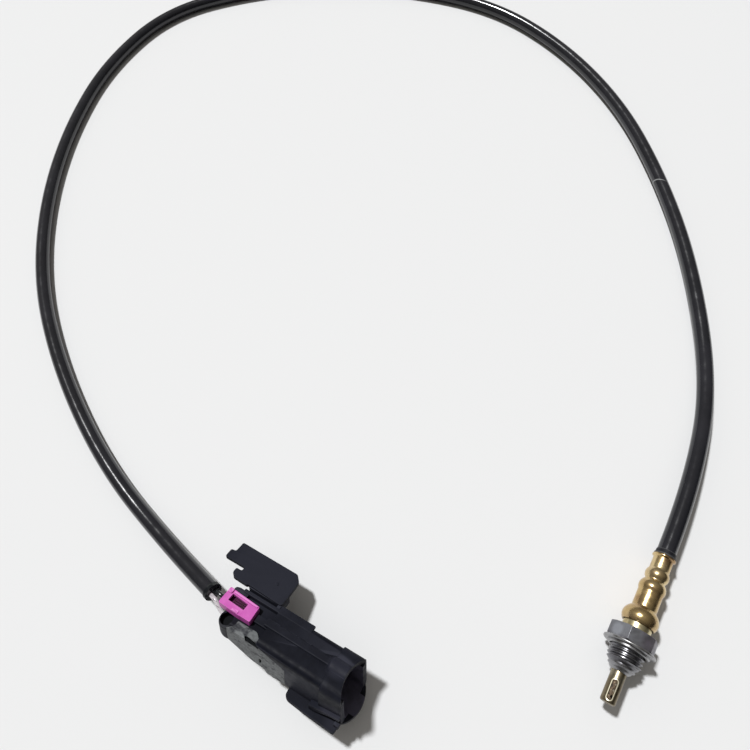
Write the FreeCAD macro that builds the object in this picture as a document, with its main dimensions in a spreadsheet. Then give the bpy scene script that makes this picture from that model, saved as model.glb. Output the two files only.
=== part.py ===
import FreeCAD, Part
import math
import os
import re

# Oxygen sensor with its cord and connector, lying on a flat surface.
# Millimetres. The sensor lies along Y with its tip toward -Y.
# The floor is Z = 0.

document = FreeCAD.newDocument("oxygen_sensor")

# Sizes that can each be set by itself
plain_sizes = {
    # Sizes of the cover
    # Lengths run from the cover's rim toward the tip.
    "cover_wall": 0.5,  # wall of the pressed cover
    "rim_radius": 4.15,  # rolled rim of the cover
    "rim_length": 0.8,  # length of the rolled rim
    "neck_radius": 3.5,  # outside of the cover's narrow neck
    "neck_length": 10.2,  # rim to the end of the narrow neck
    "bead_one_radius": 4.2,  # outside of the first crimp bead
    "bead_one_middle": 7.67,  # rim to the first bead's middle
    "bead_one_half": 3.6,  # half length of the first bead's curve
    "bead_two_radius": 4.7,  # outside of the second crimp bead
    "bead_two_rise": 2.55,  # neck's end to the second bead's middle
    "bead_two_half": 4.0,  # half length of the second bead's curve
    "barrel_radius": 4.3,  # outside of the cover's barrel
    "barrel_length": 10.65,  # neck's end to the top of the bell
    "bell_radius": 6.3,  # outside of the cover's bell
    "bell_half": 5.0,  # half length of the bell's curve
    "bell_rise": 3.8,  # barrel's end to the bell's widest ring
    "bell_skirt": 2.35,  # bell's widest ring to its open edge
    # Sizes of the collar, the hexagon, the washer and the threaded shell
    "collar_radius": 4.95,  # outside of the collar below the bell
    "collar_show": 2.55,  # length of collar seen below the bell
    "collar_flange_radius": 5.25,  # flange of the collar inside the bell
    "collar_flange_length": 2.1,  # length of the collar's flange
    "collar_flange_lift": 4.0,  # bell's edge to the flange's top
    "spigot_radius": 4.3,  # spigot of the shell inside the collar
    "shell_gap": 1.1,  # barrel's end to the shell's top
    "hexagon_flats": 15.0,  # hexagon across flats
    "hexagon_length": 5.1,  # length of the hexagon
    "hexagon_turn": 53.0,  # degrees the hexagon is turned about the axis
    "washer_neck_radius": 5.5,  # neck of the shell inside the washer
    "washer_radius": 9.0,  # outside of the folded washer
    "washer_upper": 1.2,  # thickness of the washer's wide upper fold
    "washer_lower": 0.9,  # thickness of the washer's lower tier
    "washer_lower_radius": 7.4,  # outside of the washer's lower tier
    "washer_play": 0.1,  # play between the thread and the washer's bore
    "washer_fold_gap": 0.35,  # gap between the washer's folds
    "thread_radius": 5.95,  # outside of the thread
    "thread_length": 6.5,  # hexagon's face to the thread's end
    "nose_top_radius": 5.4,  # nose of the shell at the thread
    "nose_end_radius": 2.9,  # nose of the shell at its end
    "nose_length": 3.35,  # length of the nose
    "shell_bore": 3.2,  # bore of the shell
    "shell_lip_bore": 2.6,  # narrow bore at the shell's end
    "shell_lip": 2.2,  # length of the narrow bore
    # Sizes of the protection tubes, the element and what holds it
    "tube_wall": 0.4,  # wall of the outer protection tube
    "tube_show": 10.9,  # length of tube seen below the nose
    "tube_flange": 0.5,  # thickness of the tube's flange
    "tube_slot_width": 1.9,  # width of the slot in the tube
    "tube_slot_start": 2.9,  # nose's end to the slot
    "tube_slot_stop": 0.85,  # slot's end to the tube's end
    "tube_slot_turn": 14.0,  # degrees from straight up to the slot
    "inner_tube_radius": 1.9,  # outside of the inner tube
    "inner_tube_wall": 0.25,  # wall of the inner tube
    "inner_tube_short": 1.4,  # inner tube's end to the outer one's
    "inner_hole_radius": 0.4,  # gas holes in the inner tube
    "inner_hole_pitch": 2.1,  # pitch of the gas holes
    "inner_hole_start": 2.2,  # nose's end to the first gas hole
    "element_width": 2.8,  # width of the sensing bar
    "element_thick": 1.3,  # thickness of the sensing bar
    "element_short": 1.2,  # bar's end to the inner tube's end
    "element_tip": 1.0,  # length of the bar's narrow tip
    "element_tip_step": 0.4,  # step of the bar's narrow tip on each side
    "element_gap": 0.8,  # lead wires' ends to the bar
    "bush_length": 5.5,  # length of the upper bush
    "talc_length": 4.2,  # length of the packed powder ring
    # Sizes of the grommet, the leads, the contact springs and the insulator
    "grommet_flange_radius": 3.8,  # flange of the grommet on the rim
    "grommet_flange_height": 2.1,  # height of the grommet's flange
    "grommet_length": 7.0,  # rim to the grommet's lower face
    "lead_radius": 0.9,  # insulated lead wires
    "lead_offset": 1.4,  # axis to each lead wire
    "lead_end": 14.5,  # rim to the lead wires' ends
    "lead_core": 0.6,  # bare core of a lead wire
    "lead_bare": 1.5,  # length of bare core at a lead's end
    "insulator_wide_radius": 3.6,  # wide part of the insulator
    "insulator_wide_start": 13.4,  # rim to the insulator's wide part
    "insulator_wide_end": 20.4,  # rim to the wide part's end
    "spring_thick": 0.3,  # thickness of a contact spring
    "spring_width": 1.6,  # width of a contact spring
    "spring_end_gap": 0.5,  # shell's top to the springs' ends
    # Sizes of the cord
    "sheath_radius": 3.35,  # outside of the cord's sheath
    "end_ring_radius": 3.6,  # outside of the sheath's end ring
    "end_ring_length": 1.6,  # length of the sheath's end ring
    "bend_share": 0.45,  # share of a run that a bend takes
    "cord_straight": 28.2,  # straight cord at the grommet
    "cord_lift": 1.6,  # lift of the cord's first bend above the floor
    # Sizes of the connector
    # Its own frame has X toward the mouth, Y toward its far side and Z up.
    "connector_x": -126.45,  # middle of the rear face, across
    "connector_y": -72.35,  # middle of the rear face, along
    "connector_z": 12.03,  # middle of the rear face, height
    "connector_yaw": 2.5,  # degrees about the vertical
    "connector_pitch": 4.7,  # degrees that the mouth is raised
    "connector_roll": 24.9,  # degrees that the top leans to the far side
    "mouth_slant": 4.3,  # degrees that the mouth's face leans back
    "mouth_reach": 30.0,  # reach of the body that trims the mouth
    "mouth_extra": 4.5,  # length beyond the mouth before it is trimmed
    "scoop_depth": 3.1,  # how far the top edge of the mouth is scooped out
    "scoop_reach": 3.5,  # height of the scoop below the sleeve's top
    "lip_reach": 3.4,  # how far the lower lip of the mouth stands out
    "connector_length": 52.0,  # rear face to the mouth
    "sleeve_start": 16.5,  # rear face to the sleeve
    "sleeve_half": 7.7,  # half width of the sleeve
    "sleeve_top": 9.55,  # middle to the sleeve's top
    "sleeve_bottom": 9.55,  # middle to the sleeve's bottom
    "sleeve_corner": 2.2,  # corner radius of the sleeve
    "collar_width_extra": 0.8,  # collar at the mouth beyond the sleeve
    "mouth_collar_length": 9.0,  # length of the collar at the mouth
    "mouth_corner": 3.2,  # corner radius of the collar
    "cavity_wall": 1.45,  # wall around the cavity
    "cavity_depth": 22.0,  # depth of the cavity
    "cavity_corner": 2.0,  # corner radius of the cavity
    "block_near": 6.2,  # middle to the rear block's near face
    "block_far": 7.0,  # middle to the rear block's far face
    "block_top": 7.2,  # middle to the rear block's top
    "block_bottom": 9.3,  # middle to the rear block's bottom
    "block_corner": 1.0,  # corner radius of the rear block
    "block_lap": 13.0,  # rear block's length inside the sleeve
    "wire_middle": 0.4,  # middle to the pair of wires, sideways
    "wire_pitch": 5.0,  # pitch of the two wires
    "wire_level": 1.5,  # height of the wires in the connector
    "wire_radius": 0.85,  # wires at the connector
    "wire_spread": 1.25,  # sheath's middle to each wire
    "wire_straight": 3.2,  # straight wire at the sheath's end
    "wire_lead_in": 3.4,  # straight wire before the rear face
    "sheath_end_back": 10.8,  # rear face back to the sheath's end
    "sheath_end_side": 2.0,  # middle to the sheath's end, sideways
    "sheath_end_level": 3.0,  # height of the sheath's end
    "seal_radius": 2.1,  # outside of a wire seal
    "seal_start": 0.8,  # rear face to the wire seals
    "seal_length": 7.4,  # length of a wire seal
    "seal_bore_length": 9.0,  # depth of a seal's bore
    "channel_size": 2.4,  # side of a terminal's square channel
    "terminal_start": 12.0,  # rear face to the terminals
    "terminal_body": 15.0,  # length of a terminal's body
    "blade_length": 19.0,  # length of a terminal's blade
    "blade_thick": 0.64,  # thickness of a blade
    # Sizes of the plates, the web, the clip and the side cover
    "plate_rear": 12.0,  # rear face back to the far plate's end
    "plate_front": 16.2,  # rear face to the far plate's front
    "plate_inner": 8.0,  # middle to the far plate's inner edge
    "plate_outer": 21.6,  # middle to the far plate's outer edge
    "plate_top": 9.8,  # middle to the far plate's top
    "plate_thick": 1.7,  # thickness of the far plate
    "finger_reach": 2.0,  # how far the outer finger stands out
    "finger_start": 13.4,  # middle to the outer finger's inner edge
    "finger_width": 3.6,  # width of the outer finger
    "notch_width": 1.7,  # width of the slot between the fingers
    "notch_depth": 7.3,  # depth of the slot between the fingers
    "inner_finger_short": 4.8,  # inner finger's end to the plate's end
    "finger_round": 1.1,  # rounding of the fingers' corners
    "plate_corner_radius": 3.0,  # rounding of the plate's front outer corner
    "web_low": 4.6,  # middle to the web's underside
    "web_thick": 1.6,  # thickness of the web's floor
    "web_start": 1.5,  # rear face to the web
    "web_wall": 1.5,  # thickness of the web's wall
    "web_end_reach": 5.0,  # plate's inner edge to the end wall's outer edge
    "wing_start": 30.4,  # rear face to the near wing
    "wing_outer": 12.0,  # middle to the near wing's outer edge
    "wing_thick": 1.6,  # thickness of the near wing
    "wing_corner": 2.0,  # corner radius of the near wing
    "skirt_start": 39.5,  # rear face to the flared skirt
    "skirt_reach": 2.4,  # how far the skirt flares out
    "skirt_height": 6.5,  # height of the flared skirt
    "skirt_gap_place": 4.0,  # skirt's start to the gap below it
    "skirt_gap_length": 5.5,  # length of the gap below the skirt
    "skirt_gap_height": 0.9,  # height of the gap below the skirt
    "foot_start": 24.0,  # rear face to the far foot
    "foot_length": 18.0,  # length of the far foot
    "foot_outer": 12.6,  # middle to the far foot's outer edge
    "ridge_width": 3.0,  # width of the ridge on top
    "ridge_height": 0.6,  # height of the ridge on top
    "ridge_side": 0.6,  # middle of the sleeve to the ridge's middle
    "side_rail_start": 16.5,  # rear face to the sleeve's thin far rail
    "side_rail_end": 30.8,  # rear face to the end of that rail
    "side_rail_reach": 0.7,  # how far that rail stands out
    "side_rail_height": 1.2,  # height of that rail
    "bump_half": 1.8,  # half width of the lock bump
    "bump_curve": 3.8,  # radius of the lock bump's crown
    "bump_height": 1.3,  # height of the lock bump
    "bump_start": 41.5,  # rear face to the lock bump
    "bump_length": 7.1,  # length of the lock bump
    "rail_height": 2.2,  # height of the rail beside the clip
    "rail_width": 1.4,  # width of the rail beside the clip
    "track_width": 3.0,  # width of the raised track before the clip
    "track_height": 1.2,  # height of the raised track
    "track_gap": 0.4,  # clip's front to the raised track
    "clip_rear": 4.2,  # rear face back to the clip's end
    "clip_front": 10.3,  # rear face to the clip's front
    "clip_near": 3.1,  # middle to the clip's near edge
    "clip_far": 3.9,  # middle to the clip's far edge
    "clip_height": 3.0,  # height of the clip
    "clip_wall": 1.0,  # wall of the clip
    "window_start": 3.3,  # clip's end to its window
    "window_length": 6.9,  # length of the clip's window
    "window_width": 2.1,  # width of the clip's window
    "window_shift": 0.45,  # clip's middle to the window's middle
    "cover_thick": 1.5,  # thickness of the side cover
    "cover_start": 1.8,  # rear face to the side cover's rear end
    "cover_front": 28.7,  # rear face to the side cover's front
    "cover_top": 8.4,  # middle to the side cover's top
    "cover_low": 5.8,  # middle to the side cover's low edge
    "cover_step": 2.4,  # step down in the side cover's edge
    "cover_step_start": 19.7,  # rear face to that step
    "rear_slope_end": 14.8,  # rear face to the lower end of the rear slope
    "rear_slope_turn": 25.1,  # degrees that the rear slope falls
    "rear_slope_side": 4.4,  # middle to where the rear slope cuts the block
    "rear_slope_reach": 30.0,  # reach of the body that cuts the rear slope
    "boss_along": 2.3,  # rear face to the round boss
    "boss_side": 4.2,  # middle to the round boss, on the near side
    "boss_radius": 3.7,  # radius of the round boss
    "boss_top": 6.5,  # height of the boss's top
    "boss_low": 1.5,  # middle down to the boss's lower end
    "boss_hole_radius": 2.5,  # radius of the hole in the boss
    "boss_hole_floor": 4.2,  # height of the hole's floor
    "boss_play": 0.15,  # play between the boss and the side cover
    "recess_depth": 0.8,  # depth of the side cover's groove
    "recess_radius": 1.1,  # radius of the side cover's round recess
    "recess_start": 9.6,  # rear face to the round recess
    "recess_length": 6.2,  # length of the round recess
    "recess_level": 1.6,  # height of the round recess
    "groove_start": 17.8,  # rear face to the upright groove
    "groove_width": 1.0,  # width of the upright groove
    "groove_length": 3.0,  # length of the upright groove
    "slope_start": 16.3,  # rear face to the side cover's sloping edge
    "slope_drop": 4.6,  # drop of the side cover's sloping edge
}

# Sizes that follow from the others
worked_out = {
    "washer_thick": "washer_upper + washer_lower",  # thickness of the whole washer
    "washer_bore": "thread_radius + washer_play",  # bore of the folded washer
    "barrel_end": "neck_length + barrel_length",  # rim to the barrel's end
    "bead_two_middle": "neck_length + bead_two_rise",  # rim to the second bead's middle
    "bell_middle": "barrel_end + bell_rise",  # rim to the bell's widest ring
    "bell_end": "bell_middle + bell_skirt",  # rim to the bell's open edge
    "collar_end": "bell_end + collar_show",  # rim to the collar's end
    "collar_top": "bell_end - collar_flange_lift",  # rim to the flange's top
    "shell_top": "barrel_end + shell_gap",  # rim to the top of the shell
    "hexagon_end": "collar_end + hexagon_length",  # rim to the hexagon's lower face
    "thread_end": "hexagon_end + thread_length",  # rim to the thread's end
    "nose_end": "thread_end + nose_length",  # rim to the end of the nose
    "lip_start": "nose_end - shell_lip",  # rim to the shell's narrow bore
    "tube_radius": "shell_lip_bore",  # outside of the outer tube
    "tube_end": "nose_end + tube_show",  # rim to the tube's end
    "inner_tube_end": "tube_end - inner_tube_short",  # rim to the inner tube's end
    "element_end": "inner_tube_end - element_short",  # rim to the bar's end
    "bush_end": "shell_top + bush_length",  # rim to the bush's end
    "talc_end": "bush_end + talc_length",  # rim to the powder ring's end
    "tube_top": "lip_start - tube_flange",  # rim to the tube's flange
    "grommet_radius": "neck_radius - cover_wall",  # body of the grommet
    "insulator_radius": "neck_radius - cover_wall",  # narrow part of the insulator
    "sensor_length": "tube_end + grommet_flange_height",  # whole length of the sensor
    "rim_y": "sensor_length / 2 - grommet_flange_height",  # the cover's rim along Y
    "axis_height": "washer_radius",  # height of the sensor's axis
    "mouth_half": "sleeve_half + collar_width_extra",  # half width of the mouth
    "scoop_radius": "(mouth_half * mouth_half + scoop_depth * scoop_depth) / (2 * scoop_depth)",  # scoop in the top edge
    "lip_radius": "(mouth_half * mouth_half + lip_reach * lip_reach) / (2 * lip_reach)",  # round edge of the lower lip
}

sizes = document.addObject("Spreadsheet::Sheet", "Sizes")
cells = [(alias, str(number)) for alias, number in plain_sizes.items()]
cells += [(alias, "=" + formula) for alias, formula in worked_out.items()]
for row, (alias, content) in enumerate(cells, 1):
    sizes.set("A%d" % row, alias.replace("_", " "))
    sizes.set("B%d" % row, content)
    sizes.setAlias("B%d" % row, alias)
document.recompute()


def say(text):
    """The text with each size's name led by the sheet it lies in."""
    def lead(found):
        word = found.group(0)
        return "Sizes." + word if word in plain_sizes or word in worked_out else word
    return re.sub(r"[a-z][a-z_]*", lead, str(text))


def value(alias):
    return float(getattr(sizes, alias))


def bind(thing, pairs):
    for name, text in pairs:
        thing.setExpression(name, say(text))


# Shapes made of primitives

def cylinder(name, radius, length, start, side="0", up="0"):
    """A cylinder along its frame's Z."""
    thing = document.addObject("Part::Cylinder", name)
    bind(thing, (("Radius", radius), ("Height", length)))
    bind(thing, (("Placement.Base.x", side), ("Placement.Base.y", up), ("Placement.Base.z", start)))
    return thing


def rod(name, radius, length, start, side, up):
    """A cylinder along its frame's X."""
    thing = document.addObject("Part::Cylinder", name)
    thing.Placement.Rotation = FreeCAD.Rotation(FreeCAD.Vector(0, 1, 0), 90)
    bind(thing, (("Radius", radius), ("Height", length)))
    bind(thing, (("Placement.Base.x", start), ("Placement.Base.y", side), ("Placement.Base.z", up)))
    return thing


def pin(name, radius, length, start, along, up):
    """A cylinder along its frame's Y."""
    thing = document.addObject("Part::Cylinder", name)
    thing.Placement.Rotation = FreeCAD.Rotation(FreeCAD.Vector(1, 0, 0), -90)
    bind(thing, (("Radius", radius), ("Height", length)))
    bind(thing, (("Placement.Base.x", along), ("Placement.Base.y", start), ("Placement.Base.z", up)))
    return thing


def egg(name, radius, half, middle):
    """A round bulge about the frame's Z axis."""
    thing = document.addObject("Part::Ellipsoid", name)
    thing.Angle1 = -90
    thing.Angle2 = 90
    thing.Angle3 = 360
    bind(thing, (("Radius1", half), ("Radius2", radius), ("Radius3", radius)))
    bind(thing, (("Placement.Base.z", middle),))
    return thing


def cone(name, first, last, length, start):
    thing = document.addObject("Part::Cone", name)
    bind(thing, (("Radius1", first), ("Radius2", last), ("Height", length)))
    bind(thing, (("Placement.Base.z", start),))
    return thing


def block(name, x_low, x_length, y_low, y_length, z_low, z_length):
    thing = document.addObject("Part::Box", name)
    bind(thing, (("Length", x_length), ("Width", y_length), ("Height", z_length)))
    bind(thing, (("Placement.Base.x", x_low), ("Placement.Base.y", y_low), ("Placement.Base.z", z_low)))
    return thing


def joined(name, pieces):
    thing = document.addObject("Part::MultiFuse", name)
    thing.Shapes = pieces
    thing.Refine = True
    return thing


def less(name, base, tool):
    thing = document.addObject("Part::Cut", name)
    thing.Base = base
    thing.Tool = tool
    thing.Refine = True
    return thing


def shared(name, pieces):
    thing = document.addObject("Part::MultiCommon", name)
    thing.Shapes = pieces
    return thing


def rounded_bar(name, start, length, low_y, width, low_z, height, corner):
    """A bar along X with four rounded long edges."""
    flat = block(name + "_flat", start, length, low_y, width,
                 "%s + %s" % (low_z, corner), "%s - 2 * %s" % (height, corner))
    tall = block(name + "_tall", start, length, "%s + %s" % (low_y, corner),
                 "%s - 2 * %s" % (width, corner), low_z, height)
    pieces = [flat, tall]
    for near in (True, False):
        for low in (True, False):
            side = "%s + %s" % (low_y, corner)
            level = "%s + %s" % (low_z, corner)
            if not near:
                side = "%s + %s - %s" % (low_y, width, corner)
            if not low:
                level = "%s + %s - %s" % (low_z, height, corner)
            label = "%s_edge_%d" % (name, len(pieces))
            pieces.append(rod(label, corner, length, start, side, level))
    return joined(name, pieces)


def corner_waste(name, x, y, x_way, y_way, radius, low, thick):
    """What lies outside a rounded corner at x, y of a flat plate."""
    middle_x = "%s - (%d) * %s" % (x, x_way, radius)
    middle_y = "%s - (%d) * %s" % (y, y_way, radius)
    low_x = middle_x if x_way > 0 else "%s - 1" % x
    low_y = middle_y if y_way > 0 else "%s - 1" % y
    square = block(name + "_square", low_x, "%s + 1" % radius, low_y, "%s + 1" % radius,
                   "%s - 1" % low, "%s + 2" % thick)
    round_bar = cylinder(name + "_round", radius, "%s + 4" % thick, "%s - 2" % low, middle_x, middle_y)
    return less(name, square, round_bar)


finished = []

# The sensor's frame has Z from the rim toward the tip and Y up.
sensor_turn = FreeCAD.Rotation(FreeCAD.Vector(1, 0, 0), 90)


def sensor_piece(thing, label):
    thing.Label = label
    thing.Placement.Rotation = sensor_turn
    bind(thing, (("Placement.Base.y", "rim_y"), ("Placement.Base.z", "axis_height")))
    finished.append(thing)


# Pressed cover with its rim, neck, two crimp beads, barrel and bell
skin = joined("cover_outside", [
    cylinder("cover_rim", "rim_radius", "rim_length", "0"),
    cylinder("cover_neck", "neck_radius", "neck_length + 0.3", "0"),
    egg("cover_bead_one", "bead_one_radius", "bead_one_half", "bead_one_middle"),
    egg("cover_bead_two", "bead_two_radius", "bead_two_half", "bead_two_middle"),
    cylinder("cover_barrel", "barrel_radius", "bell_middle - bead_two_middle", "bead_two_middle"),
    egg("cover_bell", "bell_radius", "bell_half", "bell_middle"),
])
hollow = joined("cover_inside", [
    cylinder("cover_neck_inside", "neck_radius - cover_wall", "neck_length + 2", "-1"),
    egg("cover_bead_one_inside", "bead_one_radius - cover_wall", "bead_one_half - cover_wall",
        "bead_one_middle"),
    egg("cover_bead_two_inside", "bead_two_radius - cover_wall", "bead_two_half - cover_wall",
        "bead_two_middle"),
    cylinder("cover_barrel_inside", "barrel_radius - cover_wall",
             "bell_middle - bead_two_middle", "bead_two_middle"),
    egg("cover_bell_inside", "bell_radius - cover_wall", "bell_half - cover_wall", "bell_middle"),
    cylinder("cover_edge_inside", "collar_radius", "bell_half", "bell_middle"),
])
trimmed = shared("cover_trimmed", [
    skin,
    cylinder("cover_extent", "bell_radius + 1", "bell_end", "0"),
])
sensor_piece(less("CoverShell", trimmed, hollow), "cover_shell")

# Collar between the bell and the hexagon
collar_body = joined("collar_body", [
    cylinder("collar_flange", "collar_flange_radius", "collar_flange_length", "collar_top"),
    cylinder("collar_barrel", "collar_radius", "collar_end - collar_top", "collar_top"),
])
collar_bore = cylinder("collar_bore", "spigot_radius", "collar_end - collar_top + 2", "collar_top - 1")
sensor_piece(less("RetainingCollar", collar_body, collar_bore), "retaining_collar")

# Shell with spigot, hexagon, neck, thread and nose
hexagon = document.addObject("Part::Prism", "hexagon")
hexagon.Polygon = 6
bind(hexagon, (("Circumradius", "hexagon_flats / 2 / cos(30 deg)"), ("Height", "hexagon_length")))
bind(hexagon, (("Placement.Base.z", "collar_end"),))
bind(hexagon, (("Placement.Rotation.Angle", "hexagon_turn"),))
shell_body = joined("shell_body", [
    cylinder("shell_spigot", "spigot_radius", "collar_end - shell_top + 1", "shell_top"),
    hexagon,
    cylinder("shell_neck", "washer_neck_radius", "washer_thick + 1", "hexagon_end - 0.5"),
    cylinder("shell_thread", "thread_radius", "thread_length - washer_thick",
             "hexagon_end + washer_thick"),
    cone("shell_nose", "nose_top_radius", "nose_end_radius", "nose_length", "thread_end"),
])
shell_bore = joined("shell_bores", [
    cylinder("shell_wide_bore", "shell_bore", "lip_start - shell_top + 1", "shell_top - 1"),
    cylinder("shell_lip_hole", "shell_lip_bore", "shell_lip + 2", "lip_start - 1"),
])
sensor_piece(less("ThreadedShell", shell_body, shell_bore), "threaded_shell")

# Folded washer below the hexagon, with a wide upper fold and a narrower tier
washer_flat = cylinder("washer_flat", "washer_radius - washer_upper / 2", "washer_upper",
                       "hexagon_end")
washer_edge = document.addObject("Part::Torus", "washer_edge")
bind(washer_edge, (("Radius1", "washer_radius - washer_upper / 2"), ("Radius2", "washer_upper / 2")))
bind(washer_edge, (("Placement.Base.z", "hexagon_end + washer_upper / 2"),))
washer_tier = cylinder("washer_tier", "washer_lower_radius", "washer_lower + 0.3",
                       "hexagon_end + washer_upper - 0.3")
washer_round = joined("washer_round", [washer_flat, washer_edge, washer_tier])
washer_bores = joined("washer_bores", [
    cylinder("washer_hole", "washer_bore", "washer_thick + 2", "hexagon_end - 1"),
    cylinder("washer_fold", "washer_radius - washer_upper / 2", "washer_fold_gap",
             "hexagon_end + washer_upper / 2 - washer_fold_gap / 2"),
])
sensor_piece(less("SealingWasher", washer_round, washer_bores), "sealing_washer")

# Outer protection tube with one long slot
tube_body = joined("tube_body", [
    cylinder("tube_wide", "shell_bore", "tube_flange", "tube_top"),
    cylinder("tube_barrel", "tube_radius", "tube_end - tube_top", "tube_top"),
])
slot_block = block("slot_block", "-tube_slot_width / 2", "tube_slot_width", "0", "tube_radius + 1",
                   "nose_end + tube_slot_start + tube_slot_width / 2",
                   "tube_show - tube_slot_start - tube_slot_stop - tube_slot_width")
slot_first = pin("slot_first", "tube_slot_width / 2", "tube_radius + 1", "0", "0",
                 "nose_end + tube_slot_start + tube_slot_width / 2")
slot_last = pin("slot_last", "tube_slot_width / 2", "tube_radius + 1", "0", "0",
                "tube_end - tube_slot_stop - tube_slot_width / 2")
slot = joined("slot", [slot_block, slot_first, slot_last])
bind(slot, (("Placement.Rotation.Angle", "tube_slot_turn"),))
tube_inside = joined("tube_inside", [
    cylinder("tube_bore", "tube_radius - tube_wall", "tube_end - tube_top - tube_wall + 1",
             "tube_top - 1"),
    slot,
])
sensor_piece(less("ProtectionTube", tube_body, tube_inside), "protection_tube")

# Inner tube with rows of small gas holes
inner_body = joined("inner_body", [
    cylinder("inner_wide", "tube_radius - tube_wall", "tube_flange", "tube_top"),
    cylinder("inner_barrel", "inner_tube_radius", "inner_tube_end - tube_top", "tube_top"),
])
inner_cuts = [cylinder("inner_bore", "inner_tube_radius - inner_tube_wall",
                       "inner_tube_end - tube_top - inner_tube_wall + 1", "tube_top - 1")]
for place in range(4):
    hole = pin("gas_hole_%d" % place, "inner_hole_radius", "2 * inner_tube_radius + 2",
               "-inner_tube_radius - 1", "0",
               "nose_end + inner_hole_start + %d * inner_hole_pitch" % place)
    inner_cuts.append(hole)
sensor_piece(less("InnerTube", inner_body, joined("inner_cuts", inner_cuts)), "inner_tube")


# Pieces inside the shell and the cover
def bar_block(name, start, end):
    return block(name, "-element_thick / 2", "element_thick", "-element_width / 2", "element_width",
                 start, "(%s) - (%s)" % (end, start))


element = joined("SensingElement", [
    bar_block("element_bar", "lead_end + element_gap", "element_end - element_tip"),
    block("element_point", "-element_thick / 2", "element_thick",
          "-element_width / 2 + element_tip_step", "element_width - 2 * element_tip_step",
          "element_end - 2 * element_tip", "2 * element_tip"),
])
sensor_piece(element, "sensing_element")

bush = less("UpperBush",
            cylinder("bush_body", "shell_bore", "bush_length", "shell_top"),
            bar_block("bush_channel", "shell_top - 1", "bush_end + 1"))
sensor_piece(bush, "upper_bush")

talc = less("TalcRing",
            cylinder("talc_body", "shell_bore", "talc_length", "bush_end"),
            bar_block("talc_channel", "bush_end - 1", "talc_end + 1"))
sensor_piece(talc, "talc_ring")

lower = less("LowerCeramic",
             cylinder("lower_body", "shell_bore", "tube_top - talc_end", "talc_end"),
             bar_block("lower_channel", "talc_end - 1", "tube_top + 1"))
sensor_piece(lower, "lower_ceramic")

insulator_body = joined("insulator_body", [
    cylinder("insulator_narrow", "insulator_radius", "shell_top - grommet_length", "grommet_length"),
    cylinder("insulator_wide", "insulator_wide_radius", "insulator_wide_end - insulator_wide_start",
             "insulator_wide_start"),
])
insulator_room = joined("insulator_room", [
    cylinder("lead_room_left", "lead_radius", "lead_end - grommet_length + 1",
             "grommet_length - 1", "-lead_offset"),
    cylinder("lead_room_right", "lead_radius", "lead_end - grommet_length + 1",
             "grommet_length - 1", "lead_offset"),
    block("element_room", "-element_thick / 2 - spring_thick", "element_thick + 2 * spring_thick",
          "-element_width / 2", "element_width", "lead_end", "shell_top - lead_end + 1"),
])
sensor_piece(less("CeramicInsulator", insulator_body, insulator_room), "ceramic_insulator")

spring_long = "shell_top - spring_end_gap - lead_end"
for hand, side in (("left", "-element_thick / 2 - spring_thick"), ("right", "element_thick / 2")):
    strip = block("spring_strip_" + hand, side, "spring_thick", "-spring_width / 2",
                  "spring_width", "lead_end", spring_long)
    weld_hole = rod("spring_hole_" + hand, "spring_width / 5", "spring_thick + 2", side + " - 1",
                    "0", "lead_end + spring_width")
    sensor_piece(less("Spring_" + hand, strip, weld_hole), "contact_spring_" + hand)

grommet_body = joined("grommet_body", [
    cylinder("grommet_flange", "grommet_flange_radius", "grommet_flange_height",
             "-grommet_flange_height"),
    cylinder("grommet_plug", "grommet_radius", "grommet_length", "0"),
])
grommet_holes = joined("grommet_holes", [
    cylinder("grommet_hole_left", "lead_radius", "grommet_length + grommet_flange_height + 2",
             "-grommet_flange_height - 1", "-lead_offset"),
    cylinder("grommet_hole_right", "lead_radius", "grommet_length + grommet_flange_height + 2",
             "-grommet_flange_height - 1", "lead_offset"),
])
sensor_piece(less("Grommet", grommet_body, grommet_holes), "grommet")

for label, side in (("lead_wire_left", "-lead_offset"), ("lead_wire_right", "lead_offset")):
    wire = joined(label + "_whole", [
        cylinder(label + "_jacket", "lead_radius",
                 "lead_end + grommet_flange_height - lead_bare", "-grommet_flange_height", side),
        cylinder(label + "_core", "lead_core", "2 * lead_bare", "lead_end - 2 * lead_bare", side),
    ])
    sensor_piece(wire, label)

# The connector's own frame
yaw = math.radians(value("connector_yaw"))
pitch = math.radians(value("connector_pitch"))
roll = math.radians(value("connector_roll"))
ahead = FreeCAD.Vector(math.cos(yaw) * math.cos(pitch), math.sin(yaw) * math.cos(pitch), math.sin(pitch))
level_side = FreeCAD.Vector(-math.sin(yaw), math.cos(yaw), 0)
level_up = ahead.cross(level_side)
far_way = level_side * math.cos(roll) - level_up * math.sin(roll)
up_way = level_up * math.cos(roll) + level_side * math.sin(roll)
connector_turn = FreeCAD.Rotation(ahead, far_way, up_way, "XYZ")
connector_base = FreeCAD.Vector(value("connector_x"), value("connector_y"), value("connector_z"))
connector_place = FreeCAD.Placement(connector_base, connector_turn)


def connector_piece(thing, label):
    thing.Label = label
    thing.Placement.Rotation = connector_turn
    bind(thing, (("Placement.Base.x", "connector_x"), ("Placement.Base.y", "connector_y"),
                 ("Placement.Base.z", "connector_z")))
    finished.append(thing)


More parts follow.
